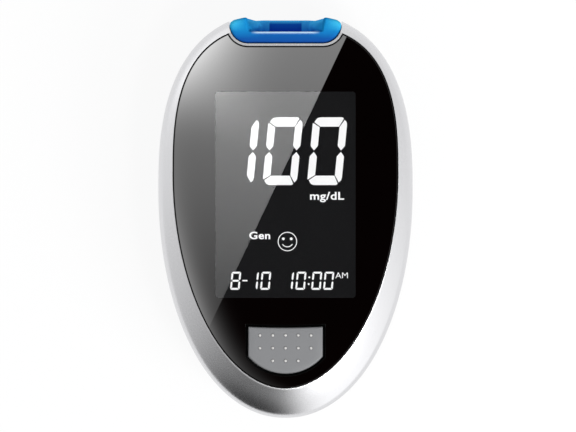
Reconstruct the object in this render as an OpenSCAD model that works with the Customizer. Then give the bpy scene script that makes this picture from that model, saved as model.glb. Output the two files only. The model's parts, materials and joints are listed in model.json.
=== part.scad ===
// Egg-shaped blood glucose meter, lying on its back. Millimetres.
// +X right, +Y towards the test strip port, +Z out of the display.
// Origin: middle of the footprint, on the plane that the back rests on.

/* [Body] */
// Width across the widest station
body_w = 61; // [57:0.5:66]
// Widest station to the tip of the tail
tail_len = 55.1; // [53:0.1:60]
// Widest station to the tip that the nose would have if it were not cut flat
nose_len = 42.25; // [41:0.05:46]
// How far the flat end face lies short of that tip
end_cut = 2.05; // [1:0.05:2.6]
// Roundness of the tail outline: 2 is an ellipse
tail_power = 2.08; // [1.95:0.01:2.3]
// Roundness of the nose outline
nose_power = 2.515; // [2.3:0.005:2.8]
// Height of the bezel's lip above the back
body_h = 25.5; // [24.5:0.1:29]
// Height of the joint between the two shells
belt_z = 13; // [12.8:0.1:13.6]
// How far the bezel wall draws in from its widest ring down to the joint
belly_in = 0.5; // [0:0.05:1]
// Step from the bezel to the rear case at the joint
belt_step = 0.1; // [0:0.05:0.4]
// Depth of the shadow groove where the two shells meet
belt_groove = 0.25; // [0.1:0.05:0.4]
// How far the rear case draws in from the joint to the flat of the back
back_in = 9.4; // [7:0.1:10.5]
// Roundness of the rear case's section: 2 is an ellipse
back_power = 2.3; // [2:0.05:3]
// Wall of the rear case
rear_wall = 1.8; // [1.4:0.1:2.2]
// Floor of the rear case
rear_floor = 1.5; // [1.4:0.05:1.8]
// Wall of the bezel
bezel_wall = 2.2; // [1.8:0.1:2.6]

/* [Rim and lens] */
// Rim width beside the widest station
rim_side = 3.45; // [3:0.05:4.2]
// Rim width at the tail
rim_tail = 7.1; // [6:0.1:8]
// Rim width at the nose, measured from the flat end face
rim_nose = 1.15; // [0.9:0.05:1.8]
// How far the lens's widest station lies ahead of the body's
lens_shift = 3.1; // [1:0.1:5]
// Roundness of the lens outline at the tail
lens_tail_power = 1.955; // [1.9:0.005:2.1]
// Roundness of the lens outline at the nose
lens_nose_power = 2.81; // [2.6:0.01:3]
// Drop of the rim's sloping face over its full width
face_drop = 2.2; // [1.6:0.1:2.8]
// Further drop round the rim's shoulder, down to the widest ring
shoulder_drop = 3.5; // [2.6:0.1:4.2]
// Thickness of the lens
lens_t = 2; // [1.2:0.1:2.2]
// How far the lens lies below the lip
lens_sink = 0.1; // [0:0.05:0.4]
// Thickness of the black adhesive under the lens
adhesive_t = 0.3; // [0.2:0.05:0.4]
// Thickness of the bezel's web that carries the lens
web_t = 1.3; // [1:0.1:1.5]

/* [Display] */
// Black border between the lens's edge and the side of the display window
window_side = 10.25; // [9.75:0.05:12]
// Length of the display window
window_l = 49.4; // [44:0.2:51]
// Corner radius of the display window
window_r = 0.8; // [0.4:0.1:2]
// Strip port to the near edge of the window
window_to_port = 11.6; // [11.2:0.1:13]
// Glass that reaches past the window on each side
glass_margin = 1.7; // [1.2:0.1:2]
// Thickness of each of the display's two glasses
glass_t = 1.1; // [0.7:0.05:1.2]
// Ledge of the upper glass that carries its contacts
contact_ledge = 2.4; // [2:0.1:2.8]
// Wall of the display frame
frame_wall = 1; // [0.8:0.1:1.2]
// Thickness of the dust gasket
gasket_t = 0.6; // [0.4:0.1:0.8]
// Width of the dust gasket's ring
gasket_w = 1; // [0.8:0.1:1.2]

/* [Main button] */
// Width of the button
button_w = 17.8; // [16:0.1:18.6]
// Length of the button along its middle
button_l = 11.2; // [10.4:0.1:12]
// Radius of its curved edge
button_arc_r = 11.7; // [11:0.1:14]
// How far its straight edge bows in
button_sag = 0.24; // [0.1:0.01:0.5]
// Display window to the button
button_to_window = 6.9; // [6.8:0.1:7.6]
// How far the button stands above the lens
button_proud = 0.35; // [0.2:0.05:0.8]
// Bevel round the button's top
button_bevel = 0.4; // [0.2:0.05:0.6]
// Travel of the button
button_travel = 0.5; // [0.3:0.05:0.6]
// Retaining flange under the web
button_flange = 0.9; // [0.6:0.1:1.1]
// Grip bumps in each row, from the display down
bump_rows = [5, 5, 3];
// Distance between bumps
bump_pitch = 3.05; // [2.6:0.05:3.2]
// Diameter of a bump where it meets the button
bump_d = 0.86; // [0.6:0.02:1.2]
// Height of a bump
bump_h = 0.25; // [0.15:0.01:0.4]

/* [Strip port] */
// Width of the port
port_w = 26.8; // [25:0.1:27.6]
// Flat end face to the port's inner edge
port_depth = 5.5; // [5.3:0.05:5.9]
// Corner radius of the port's inner corners
port_r = 4.4; // [3.6:0.1:4.5]
// How far the port's two horns stand past the flat end face
port_proud = 0.7; // [0.4:0.05:1.2]
// Half distance between the tips of the horns
horn_x = 9.65; // [9:0.05:10.4]
// Silver land between the port and the lens
port_land = 0.65; // [0.5:0.05:0.9]
// Depth of the port's upper lip, along Y
lip_l = 2.6; // [2.2:0.1:2.8]
// Thickness of the port's upper lip
lip_t = 2.5; // [2:0.1:3]
// Width of a test strip with its play
strip_w = 7.6; // [6:0.1:8.4]
// Height of the strip's slot
slot_h = 1.2; // [0.8:0.1:1.4]
// Depth of the strip's guide groove in the ledge
groove_h = 0.7; // [0.4:0.1:1]

/* [Circuit board] */
// Thickness of the circuit board
board_t = 1.2; // [0.8:0.1:1.6]
// Clear height between the shells' joint and the board
board_lift = 1; // [0.8:0.1:1.4]
// Play between the board and the bezel's wall
board_play = 1.2; // [1:0.1:1.6]
// Side of a push switch
switch_w = 6; // [5:0.5:7]
// Height of a push switch's body
switch_h = 3.5; // [3:0.1:3.8]
// Diameter of a switch's plunger
plunger_d = 3.4; // [2.6:0.1:3.6]
// How far a pressed plunger still stands out of its switch
plunger_rest = 0.3; // [0.2:0.05:0.5]
// Diameter of the data plug that the jack takes
jack_d = 3.6; // [2.6:0.1:4]
// Width and height of the jack's body
jack_body = 5.2; // [5:0.1:5.8]
// Length of the jack's body
jack_l = 10; // [8:0.5:11]
// Place of the jack along the body, from the widest station towards the tail
jack_back = 11; // [6:0.5:13]

/* [Battery bay] */
// Diameter of a cell
cell_d = 10.5; // [10.1:0.05:10.5]
// Length of a cell with its contact
cell_l = 44.5; // [43.3:0.1:44.5]
// Gap between the two cells
cell_gap = 0.4; // [0.2:0.1:0.8]
// Room for a contact spring
spring_room = 4.9; // [4.2:0.1:5.4]
// Room for a contact plate
plate_room = 1; // [0.8:0.1:1.4]
// Tip of the tail to the bay
bay_from_tail = 21; // [20:0.1:22]
// Wall of the bay
bay_wall = 1.2; // [1:0.1:1.4]
// Length of the well for the setting button
well_l = 5.4; // [5:0.1:6]
// Diameter of the setting button
set_d = 3.4; // [2.8:0.1:3.8]
// Travel of the setting button
set_travel = 0.4; // [0.2:0.05:0.5]
// Width of the battery cover
cover_w = 26; // [25.2:0.2:27]
// Thickness of the battery cover
cover_t = 1.4; // [1.1:0.05:1.4]
// Corner radius of the battery cover
cover_r = 3; // [1.5:0.1:4]
// Width of a cover hook
hook_w = 4; // [3:0.1:4.2]
// Distance from the middle to a cover hook
hook_x = 7.8; // [7.2:0.1:8]
// Reach of a hook past the cover's edge
hook_reach = 1.8; // [1.2:0.1:2]
// Width of the cover's latch tongue
tongue_w = 9; // [7:0.5:11]
// Length of the cover's latch tongue
tongue_l = 7; // [5:0.5:9]
// Wire of a contact spring
wire_d = 0.6; // [0.4:0.05:0.7]
// Turns of a contact spring
spring_turns = 3.25; // [2.25:0.5:3.25]

/* [Screws] */
// Diameter of a case screw's thread
screw_d = 2; // [1.7:0.1:2.2]
// Diameter of a case screw's head
screw_head_d = 3.8; // [3.4:0.1:4.2]
// Length of a case screw under its head
screw_l = 12; // [10:0.5:13]
// Height of the head's seat above the back
screw_seat = 5; // [4:0.1:6]
// Diameter of a case screw's boss
boss_d = 6; // [5.6:0.1:6.4]
// Diameter of a board screw's thread
board_screw_d = 1.7; // [1.4:0.1:2]
// Length of a board screw under its head
board_screw_l = 4.5; // [3.5:0.1:5]

/* [Clearances] */
// Gap round the lens
lens_gap = 0.25; // [0.15:0.05:0.4]
// Gap between the button and the lens
button_gap = 0.65; // [0.5:0.05:0.9]
// Gap between the button and its guide in the web
guide_gap = 0.25; // [0.15:0.05:0.4]
// Play of pieces that drop into place
fit_gap = 0.1; // [0.05:0.05:0.15]
// Gap round the battery cover
cover_gap = 0.15; // [0.1:0.05:0.25]

/* [Detail] */
// Points round each outline
ring_points = 96; // [48:4:112]

/* [Hidden] */
$fn = 48;
cut = 1;                                  // overshoot of a cutting solid

// Stations along the body
body_l = tail_len + nose_len - end_cut + port_proud;
tail_y = -body_l / 2;
wide_y = tail_y + tail_len;
end_y = wide_y + nose_len - end_cut;
port_y = end_y - port_depth;
lens_y = wide_y + lens_shift;
lens_half_w = body_w / 2 - rim_side;
lens_tail_len = tail_len + lens_shift - rim_tail;
lens_nose_len = end_y - rim_nose - lens_y;

// Heights
shoulder_z = body_h - face_drop - shoulder_drop;
lens_top = body_h - lens_sink;
lens_z = lens_top - lens_t;
web_top = lens_z - adhesive_t;
web_z = web_top - web_t;
board_z = belt_z + board_lift;
board_top = board_z + board_t;
glass_top = web_z - gasket_t;
glass_mid = glass_top - glass_t;
glass_z = glass_mid - glass_t;
button_top = lens_top + button_proud;
plunger_top = board_top + switch_h + plunger_rest + button_travel;
flange_t = 0.8;
flange_top = web_z - fit_gap;
groove_z = board_top + 2.1;
ledge_z = groove_z + groove_h;
lip_z = lens_top - lip_t;

// Display and button along the body
window_w = 2 * (lens_half_w - window_side);
window_y1 = port_y - window_to_port;
window_y0 = window_y1 - window_l;
glass_w = window_w + 2 * glass_margin;
glass_y1 = window_y1 + glass_margin;
glass_y0 = window_y0 - glass_margin - contact_ledge;
button_y1 = window_y0 - button_to_window;
button_arc_y = button_y1 - button_l + button_arc_r;
button_mid_y = button_y1 - button_l / 2;

// Battery bay
bay_w = 2 * cell_d + cell_gap + 0.8;
bay_l = cell_l + spring_room + plate_room;
bay_y0 = tail_y + bay_from_tail;
bay_y1 = bay_y0 + bay_l;
cell_x = (cell_d + cell_gap) / 2;
cell_z = cover_t + 0.35 + cell_d / 2;
bay_top = cell_z + cell_d / 2 + 0.25;
roof_t = 0.8;
set_y = bay_y1 + bay_wall + switch_w / 2 + 0.2;
well_y0 = set_y - well_l / 2;
well_y1 = set_y + well_l / 2;
well_w = 8;
well_top = 4;
shelf_t = 1.2;
cover_y0 = bay_y0 - 1;
cover_y1 = well_y1 + 0.8;
ledge_t = 3;                              // height of the seat that backs the cover
seat_margin = 0.9;
dish_r = 12;
dish_depth = 0.9;
set_tip_z = board_z - switch_h - plunger_rest - set_travel;
hook_t = 1;

// Conical contact spring
plate_t = 0.4;
coil_r0 = 3.6;                            // radius at the plate
coil_r1 = 1.9;                            // radius at the cell
coil_l = spring_room - plate_t - wire_d;
coil_steps = round(8 * spring_turns);
function coil_point(u) = let (t = 360 * spring_turns * u, r = coil_r0 + (coil_r1 - coil_r0) * u)
    [r * cos(t), wire_d / 2 + u * coil_l, r * sin(t)];
coil = [for (k = [0:coil_steps]) coil_point(k / coil_steps)];
// Least gap between one turn's wire and the next
coil_gaps = [for (a = [0:coil_steps]) for (b = [0:coil_steps])
    if (b - a > 4) norm(coil[b] - coil[a]) - wire_d];
echo(least_gap_of_spring = min(coil_gaps));

// Screws
boss_r = boss_d / 2;
boss_into_wall = 0.5;
nose_screw_y = wide_y + 13;
tail_screw_y = button_mid_y + 2.2;
nose_board_y = port_y - 5.3;
tail_board_y = wide_y - 20;
board_screw_in = 2.4;                     // from the bezel's wall to a board screw's boss
board_boss_r = 2.2;
board_head_d = 3.2;
board_head_h = 1;
screw_head_h = 1.5;
hole_depth_spare = 0.5;

// Test strip connector and data jack
connector_w = 12;
connector_l = 5.8;
connector_h = 3.9;
connector_y1 = port_y - 1.5;
contact_count = 6;
contact_pitch = 1.15;
jack_y = wide_y - jack_back;
jack_z = board_z - jack_body / 2;
jack_end = body_half(jack_y) - belly_in - belt_step - 0.35;
jack_nose_d = 5;
jack_nose_l = 2.8;

// Backlight and the components under the board, beside the battery bay
led_w = 3.2;
led_l = 1.6;
led_h = 0.46 * (glass_z - board_top);
guide_lift = 0.6;
frame_lip = 1;                            // ledge of the frame under the glasses
side_x = (bay_w / 2 + bay_wall + body_w / 2 - bezel_wall - board_play) / 2 - 0.4;
chip_h = 1.4;
lead_w = 0.32;
processor_w = 8;
processor_l = 9;
processor_y = wide_y + 4;
memory_w = 4;
memory_l = 5;
memory_y = wide_y + 9;
crystal_r = 1.5;
crystal_l = 6;
crystal_y = wide_y + 5;
sounder_r = 4.5;
sounder_h = 3.4;
sounder_y = wide_y - 8;
sounder_hole_r = 0.9;

// Half width of the body at a station along Y
function body_half(y) = let (ahead = y >= wide_y, b = ahead ? nose_len : tail_len,
    p = ahead ? nose_power : tail_power)
    body_w / 2 * pow(max(0, 1 - pow(abs(y - wide_y) / b, p)), 1 / p);

// Point of an egg whose nose and tail are superellipses that meet at the widest station
function egg_point(t, half_w, y, nose, tail, nose_p, tail_p) =
    let (c = cos(t), s = sin(t), ahead = s >= 0, e = 2 / (ahead ? nose_p : tail_p),
        b = ahead ? nose : tail)
    [half_w * sign(c) * pow(abs(c), e), y + b * sign(s) * pow(abs(s), e)];

// Outline of the body, drawn in by i, with its flat end
function body_ring(i) = [for (k = [0:ring_points - 1])
    let (p = egg_point(360 * k / ring_points, body_w / 2 - i, wide_y, nose_len - i, tail_len - i,
        nose_power, tail_power)) [p[0], min(p[1], end_y - i)]];

// Outline of the lens pocket, drawn in by i
function lens_ring(i) = [for (k = [0:ring_points - 1])
    egg_point(360 * k / ring_points, lens_half_w - i, lens_y, lens_nose_len - i,
        lens_tail_len - i, lens_nose_power, lens_tail_power)];

// Outline between the lens (f = 0) and the body (f = 1)
function rim_ring(f) = let (a = lens_ring(0), b = body_ring(0))
    [for (k = [0:ring_points - 1]) a[k] + (b[k] - a[k]) * f];

// Drop of the rim below the lip: a sloping face that turns down round a shoulder
function rim_drop(f) = face_drop * f + shoulder_drop * (1 - pow(1 - pow(f, 4), 1 / 4));

// Outline of the button, drawn in by i
function button_ring(i) = let (half = button_w / 2 - i, r = button_arc_r - i,
    a = acos(half / r), top = button_y1 - i)
    concat([for (k = [0:14]) let (t = 180 + a + (180 - 2 * a) * k / 14)
            [r * cos(t), button_arc_y + r * sin(t)]],
        [for (k = [0:8]) let (x = half * (1 - k / 4)) [x, top - button_sag * (1 - pow(x / half, 2))]]);

// Right half of the port's outer end, drawn in by i: a horn, then a shallow brow
function horn_half(i) = let (w = port_w / 2 - i, y = end_y - 0.6 * i)
    [[w - 0.22, end_y - 0.5 - 0.4 * i], [0.38 * (horn_x + 1) + 0.62 * w, y + 0.1],
        [horn_x + 1, y + port_proud - 0.2], [horn_x, y + port_proud],
        [horn_x - 1, y + port_proud - 0.25], [horn_x - 2.5, y + 0.02], [horn_x - 4.2, y + 0.12]];

// Outline of the port, drawn in by i
function port_ring(i) = let (r = port_r - i, x = port_w / 2 - port_r, h = horn_half(i))
    concat([for (k = [0:7]) [-x + r * cos(180 + 90 * k / 7), port_y + port_r + r * sin(180 + 90 * k / 7)]],
        [for (k = [0:7]) [x + r * cos(270 + 90 * k / 7), port_y + port_r + r * sin(270 + 90 * k / 7)]],
        h, [for (k = [len(h) - 1:-1:0]) [-h[k][0], h[k][1]]]);

// Convex pieces that make up the port's outline: the body of it and its two horns
port_caps = [[for (k = [0:15]) k, 21, 22, 23, 24], [for (k = [15:21]) k], [for (k = [24:29]) k, 0]];

// Solid skinned over a stack of rings: each is [outline, z], listed from the bottom up.
// An outline that isn't convex gives its ends as convex pieces.
module loft(rings, caps = []) {
    n = len(rings[0][0]);
    m = len(rings);
    ends = len(caps) > 0 ? caps : [[for (k = [0:n - 1]) k]];
    points = [for (r = rings) for (p = r[0]) [p[0], p[1], r[1]]];
    sides = [for (j = [0:m - 2]) for (k = [0:n - 1]) let (a = j * n + k, b = j * n + (k + 1) % n)
        for (t = [[a, a + n, b + n], [a, b + n, b]]) t];
    tops = [for (c = ends) [for (k = [len(c) - 1:-1:0]) (m - 1) * n + c[k]]];
    polyhedron(points, concat(sides, ends, tops), convexity = 6);
}

// Round-cornered rectangle between two corners
module rounded(x0, y0, x1, y1, r) {
    hull() for (x = [x0 + r, x1 - r], y = [y0 + r, y1 - r]) translate([x, y]) circle(r, $fn = 32);
}

module box(x0, x1, y0, y1, z0, z1) {
    translate([x0, y0, z0]) cube([x1 - x0, y1 - y0, z1 - z0]);
}

module slab(z0, z1) {
    translate([0, 0, z0]) linear_extrude(z1 - z0) children();
}

// Places of the case screws and of the board screws
module at_case_screws() {
    for (side = [-1, 1], y = [nose_screw_y, tail_screw_y])
        translate([side * (body_half(y) - bezel_wall - boss_r + boss_into_wall), y, 0]) children();
}

module at_board_screws() {
    for (side = [-1, 1], y = [nose_board_y, tail_board_y])
        translate([side * (body_half(y) - bezel_wall - board_boss_r - board_screw_in), y, 0]) children();
}

// The port's plan, grown by g and carried past the end of the body
module port_plan(g) {
    offset(r = g) union() {
        polygon(port_ring(0));
        translate([-port_w / 2, end_y - 1.1]) square([port_w, 6]);
    }
}

// Plan of the lens with its notch round the port
module lens_plan(i) {
    difference() {
        polygon(lens_ring(i));
        port_plan(port_land + i);
    }
}

// ---- Shells ----

module bezel_outside() {
    lip = [[body_ring(belly_in + belt_groove), belt_z]];
    wall = [for (u = [0.95, 0.65, 0.3])
        [body_ring(belly_in * u * u), shoulder_z - (shoulder_z - belt_z) * u]];
    rim = [for (f = [1, 0.98, 0.93, 0.84, 0.7, 0.5, 0.25, 0]) [rim_ring(f), body_h - rim_drop(f)]];
    loft(concat(lip, wall, rim));
}

// What the bezel carries inside: screw bosses and the wall behind the port
module bezel_inside() {
    at_case_screws() translate([0, 0, belt_z]) cylinder(r = boss_r, h = web_z - belt_z + cut);
    at_board_screws() translate([0, 0, board_top]) cylinder(r = board_boss_r, h = web_z - board_top + cut);
    slab(belt_z - cut, web_z + cut) port_plan(port_land + 0.75);
}

module front_bezel() {
    color([0.78, 0.79, 0.8]) difference() {
        bezel_outside();
        difference() {
            slab(belt_z - cut, web_z) polygon(body_ring(bezel_wall));
            bezel_inside();
        }
        slab(web_top, body_h + cut) lens_plan(0);
        slab(belt_z - cut, body_h + cut) port_plan(fit_gap);
        slab(web_z - cut, web_top + cut) offset(r = 0.4) window_plan(0);
        slab(web_z - cut, web_top + cut) polygon(button_ring(-guide_gap));
        box(-connector_w / 2 + 0.5, connector_w / 2 - 0.5, connector_y1, port_y + cut, groove_z - 0.8,
            groove_z + slot_h + 0.8);
        at_case_screws() translate([0, 0, belt_z - cut])
            cylinder(d = screw_d, h = screw_seat + screw_l - belt_z + hole_depth_spare + cut);
        at_board_screws() translate([0, 0, board_top - cut])
            cylinder(d = board_screw_d, h = board_screw_l - board_t + hole_depth_spare + cut);
        jack_hole();
    }
}

// Hole for the jack's nose, half in each shell
module jack_hole() {
    translate([jack_end - jack_nose_l - 1, jack_y, jack_z]) rotate([0, 90, 0])
        cylinder(d = jack_nose_d + 0.4, h = jack_nose_l + 6);
}

// Rear shell's stack of rings from the floor up to the joint, drawn in by a wall
function rear_rings(wall, floor_z, steps, first = 0) = [for (k = [steps:-1:first])
    let (t = 90 * k / steps, e = 2 / back_power)
    [body_ring(belly_in + belt_step + wall + back_in * (1 - pow(cos(t), e))),
        floor_z + (belt_z - floor_z) * (1 - pow(sin(t), e))]];

module rear_outside() {
    edge = belly_in + belt_step;
    loft(concat(rear_rings(0, 0, 9, 1), [[body_ring(edge), belt_z - belt_groove - 0.1],
        [body_ring(edge + belt_groove), belt_z]]));
}

// What the rear case carries inside: screw bosses, the bay, the setting button's well, the cover's seat
module rear_inside() {
    at_case_screws() cylinder(r = boss_r, h = belt_z);
    slab(-cut, belt_z) bay_plan(bay_wall);
    box(-well_w / 2 - bay_wall, well_w / 2 + bay_wall, well_y0 - bay_wall, well_y1 + bay_wall, -cut,
        well_top + shelf_t);
    box(-cover_w / 2 - seat_margin, cover_w / 2 + seat_margin, cover_y0 - 5, cover_y1 + seat_margin, -cut,
        ledge_t);
}

// Plan of the battery bay, grown by g
module bay_plan(g) {
    translate([-bay_w / 2 - g, bay_y0 - g]) square([bay_w + 2 * g, bay_l + 2 * g]);
}

// Tongue that centres the bezel, and the roof of the bay above the joint
module rear_top() {
    difference() {
        slab(belt_z - 0.2, belt_z + 0.8) difference() {
            polygon(body_ring(bezel_wall + fit_gap));
            polygon(body_ring(bezel_wall + fit_gap + 0.8));
            port_plan(port_land + 0.75 + fit_gap);
        }
        at_case_screws() translate([0, 0, belt_z]) cylinder(r = boss_r + fit_gap, h = 2);
    }
    slab(bay_top, bay_top + roof_t) bay_plan(bay_wall);
}

module rear_case() {
    color([0.72, 0.73, 0.75]) difference() {
        union() {
            difference() {
                rear_outside();
                difference() {
                    translate([0, 0, 0.001]) loft(rear_rings(rear_wall, rear_floor, 6));
                    rear_inside();
                }
            }
            rear_top();
        }
        // Cells, the setting button's well and the cover's recess
        slab(-cut, bay_top) bay_plan(0);
        box(-well_w / 2, well_w / 2, well_y0, well_y1, -cut, well_top);
        slab(-cut, cover_t + fit_gap) offset(r = cover_gap) cover_plan();
        translate([0, set_y, 0]) cylinder(d = set_d + 2 * fit_gap, h = well_top + shelf_t + cut);
        for (side = [-1, 1]) translate([side * hook_x, 0, 0])
            box(-hook_w / 2 - 0.3, hook_w / 2 + 0.3, cover_y1 - 4, cover_y1 + hook_reach + 0.5, cover_t,
                ledge_t + cut);
        // Finger dish beside the latch
        translate([0, cover_y0, dish_depth - dish_r]) sphere(r = dish_r);
        at_case_screws() translate([0, 0, -cut]) cylinder(d = screw_d + 0.4, h = belt_z + 2 * cut);
        at_case_screws() translate([0, 0, -cut]) cylinder(d = screw_head_d + 0.4, h = screw_seat + cut);
        jack_hole();
    }
}

// ---- Lens and display ----

module front_lens() {
    color([0.03, 0.03, 0.035]) slab(lens_z, lens_top) difference() {
        lens_plan(lens_gap);
        polygon(button_ring(-button_gap));
    }
}

module lens_adhesive() {
    color([0.01, 0.01, 0.01]) slab(web_top, lens_z) difference() {
        lens_plan(lens_gap + 0.2);
        polygon(button_ring(-button_gap));
        window_plan(window_r);
    }
}

// Display window with corners of radius r
module window_plan(r) {
    if (r > 0) rounded(-window_w / 2, window_y0, window_w / 2, window_y1, r);
    else translate([-window_w / 2, window_y0]) square([window_w, window_l]);
}

module display_gasket() {
    color([0.08, 0.08, 0.08]) slab(glass_top, web_z) difference() {
        offset(delta = gasket_w + 0.4) window_plan(0);
        offset(delta = 0.4) window_plan(0);
    }
}

module display_upper_glass() {
    color([0.12, 0.13, 0.14])
        box(-glass_w / 2, glass_w / 2, glass_y0, glass_y1, glass_mid, glass_top);
}

module display_lower_glass() {
    color([0.2, 0.22, 0.24])
        box(-glass_w / 2, glass_w / 2, glass_y0 + contact_ledge, glass_y1, glass_z, glass_mid);
}

module backlight_guide() {
    color([0.92, 0.94, 0.95]) box(-glass_w / 2 + frame_lip, glass_w / 2 - frame_lip,
        glass_y0 + contact_ledge + frame_lip, glass_y1 - led_l - frame_lip, board_top + guide_lift, glass_z);
}

module backlight_leds() {
    y1 = glass_y1 - frame_lip + fit_gap;
    color([0.95, 0.93, 0.8]) for (x = [-1, 0, 1]) translate([x * glass_w / 3.6, 0, 0])
        box(-led_w / 2, led_w / 2, y1 - led_l, y1, board_top, board_top + led_h);
}

module display_frame() {
    g = glass_w / 2 + fit_gap;
    h = g - frame_lip;
    color([0.9, 0.9, 0.88]) difference() {
        box(-g - frame_wall, g + frame_wall, glass_y0 - fit_gap - frame_wall, glass_y1 + fit_gap + frame_wall,
            board_top, glass_top);
        // Seat of the two glasses
        box(-g, g, glass_y0 + contact_ledge - fit_gap, glass_y1 + fit_gap, glass_z, glass_top + cut);
        box(-g, g, glass_y0 - fit_gap, glass_y0 + contact_ledge, glass_mid, glass_top + cut);
        // Light guide with its lamps
        box(-h, h, glass_y0 + contact_ledge + frame_lip - fit_gap, glass_y1 - frame_lip + 2 * fit_gap,
            board_top - cut, glass_z + cut);
        // Connector under the contact ledge
        box(-h, h, glass_y0 + 0.2, glass_y0 + contact_ledge - 0.2, board_top - cut, glass_mid + cut);
    }
}

module display_connector() {
    color([0.55, 0.35, 0.4]) box(-glass_w / 2 + frame_lip, glass_w / 2 - frame_lip, glass_y0 + 0.3,
        glass_y0 + contact_ledge - 0.3, board_top, glass_mid);
}

// ---- Button ----

module main_button() {
    z0 = flange_top - flange_t;
    color([0.55, 0.555, 0.565]) union() {
        difference() {
            loft([[button_ring(0), z0], [button_ring(0), button_top - button_bevel],
                [button_ring(button_bevel), button_top]]);
            slab(z0 - cut, button_top - 1.4) polygon(button_ring(1.2));
        }
        slab(z0, flange_top) difference() {
            polygon(button_ring(-button_flange));
            polygon(button_ring(0.6));
        }
        translate([0, button_mid_y, plunger_top + fit_gap])
            cylinder(d = plunger_d, h = button_top - 1.4 - plunger_top - fit_gap + 0.2);
        button_bumps();
    }
}

module button_bumps() {
    r = (bump_d * bump_d / 4 + bump_h * bump_h) / (2 * bump_h);
    first = button_y1 - button_l / 2 + bump_pitch + 0.5;
    for (j = [0:len(bump_rows) - 1], k = [0:bump_rows[j] - 1])
        translate([(k - (bump_rows[j] - 1) / 2) * bump_pitch, first - j * bump_pitch,
            button_top + bump_h - r]) sphere(r = r, $fn = 24);
}

// Push switch that stands on z = 0 with its plunger up, and that plunger
module push_switch() {
    difference() {
        box(-switch_w / 2, switch_w / 2, -switch_w / 2, switch_w / 2, 0, switch_h);
        translate([0, 0, switch_h - 2.6]) cylinder(d = plunger_d + 0.2, h = 2.6 + cut);
    }
}

module push_plunger(travel) {
    translate([0, 0, switch_h - 1.9]) cylinder(d = plunger_d, h = 1.9 + plunger_rest + travel);
}

module button_switch() {
    color([0.15, 0.15, 0.16]) translate([0, button_mid_y, board_top]) push_switch();
}

module button_plunger() {
    color([0.85, 0.85, 0.82]) translate([0, button_mid_y, board_top]) push_plunger(button_travel);
}

module set_switch() {
    color([0.15, 0.15, 0.16]) translate([0, set_y, board_z]) mirror([0, 0, 1]) push_switch();
}

module set_plunger() {
    color([0.85, 0.85, 0.82]) translate([0, set_y, board_z]) mirror([0, 0, 1]) push_plunger(set_travel);
}

// Setting button: a pin with a collar that rests on the shelf of its well
module set_button() {
    collar_z = well_top + shelf_t + fit_gap;
    color([0.3, 0.3, 0.32]) translate([0, set_y, 0]) {
        translate([0, 0, well_top - 0.9]) cylinder(d = set_d, h = set_tip_z - fit_gap - well_top + 0.9);
        translate([0, 0, collar_z]) cylinder(d = set_d + 1.6, h = 0.9);
    }
}

// ---- Strip port ----

module strip_port() {
    top = lens_top;
    z0 = belt_z + fit_gap;
    color([0.08, 0.38, 0.78]) difference() {
        union() {
            difference() {
                loft([[port_ring(0), z0], [port_ring(0), top - 1.1], [port_ring(0.12), top - 0.5],
                    [port_ring(0.4), top - 0.15], [port_ring(0.9), top]], port_caps);
                port_scoop();
            }
            port_cheeks();
        }
        // Guide groove in the ledge, and the slot through the rear wall
        box(-strip_w / 2, strip_w / 2, port_y + 1, end_y + 3, groove_z, ledge_z + 0.4);
        box(-strip_w / 2, strip_w / 2, port_y - cut, port_y + 2, groove_z, groove_z + slot_h);
    }
}

// Space over the ledge: it opens upwards between the horns and runs back under the lip
module port_scoop() {
    y = port_y + lip_l;
    function mouth(w, y0) = [[-w, y0], [w, y0], [w + 1.2, end_y + 3], [-w - 1.2, end_y + 3]];
    loft([[mouth(horn_x - 1.4, y - 0.2), ledge_z], [mouth(horn_x - 1.2, y - 0.1), lip_z + 1],
        [mouth(horn_x - 0.9, y + 0.1), lens_top - 0.4], [mouth(horn_x - 0.4, y + 0.5), lens_top + 0.5]]);
    box(-horn_x + 1.8, horn_x - 1.8, port_y + 1.2, y + 0.5, ledge_z, lip_z);
}

// Rounded cheeks that lead a strip into the groove
module port_cheeks() {
    r = 1.9;
    h = 2.4;
    for (side = [-1, 1]) translate([side * (horn_x - 2.35), end_y - r - 0.1, ledge_z - 0.5])
        rotate_extrude() intersection() {
            union() {
                translate([-r, 0]) square([2 * r, h]);
                translate([0, h]) circle(r);
            }
            square([r, h + r]);
        }
}

module strip_connector() {
    y0 = connector_y1 - connector_l;
    w = contact_count * contact_pitch / 2 + 0.6;
    color([0.93, 0.92, 0.86]) difference() {
        box(-connector_w / 2, connector_w / 2, y0, connector_y1 - fit_gap, board_top,
            board_top + connector_h);
        box(-w, w, y0 + 1, connector_y1 + cut, board_top + 0.6, groove_z + slot_h + 0.2);
        box(-w, w, y0 - cut, y0 + 2, board_top - cut, board_top + 1);
    }
}

// Leaf contacts: each rises from its foot on the board to a crown that rubs the strip
module strip_contacts() {
    y0 = connector_y1 - connector_l;
    t = 0.2;
    crown = groove_z - 0.05;
    path = [[y0 - 1, board_top], [y0 + 1.2, board_top], [y0 + 1.5, board_top + 0.3],
        [y0 + 1.9, board_top + 0.75], [y0 + 3.9, crown - t], [y0 + 4.5, crown - t - 0.3]];
    section = concat(path, [for (k = [len(path) - 1:-1:0]) [path[k][0], path[k][1] + t]]);
    color([0.83, 0.68, 0.3]) for (k = [0:contact_count - 1])
        translate([(k - (contact_count - 1) / 2) * contact_pitch + 0.3, 0, 0])
            rotate([90, 0, 90]) translate([0, 0, -0.6]) linear_extrude(0.6) polygon(section);
}

// ---- Board and its components ----

module circuit_board() {
    color([0.05, 0.35, 0.18]) slab(board_z, board_top) difference() {
        polygon(body_ring(bezel_wall + board_play));
        port_plan(port_land + 0.75 + 0.3);
        at_case_screws() circle(boss_r + 0.4);
        at_board_screws() circle(board_screw_d / 2 + 0.15);
    }
}

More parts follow.
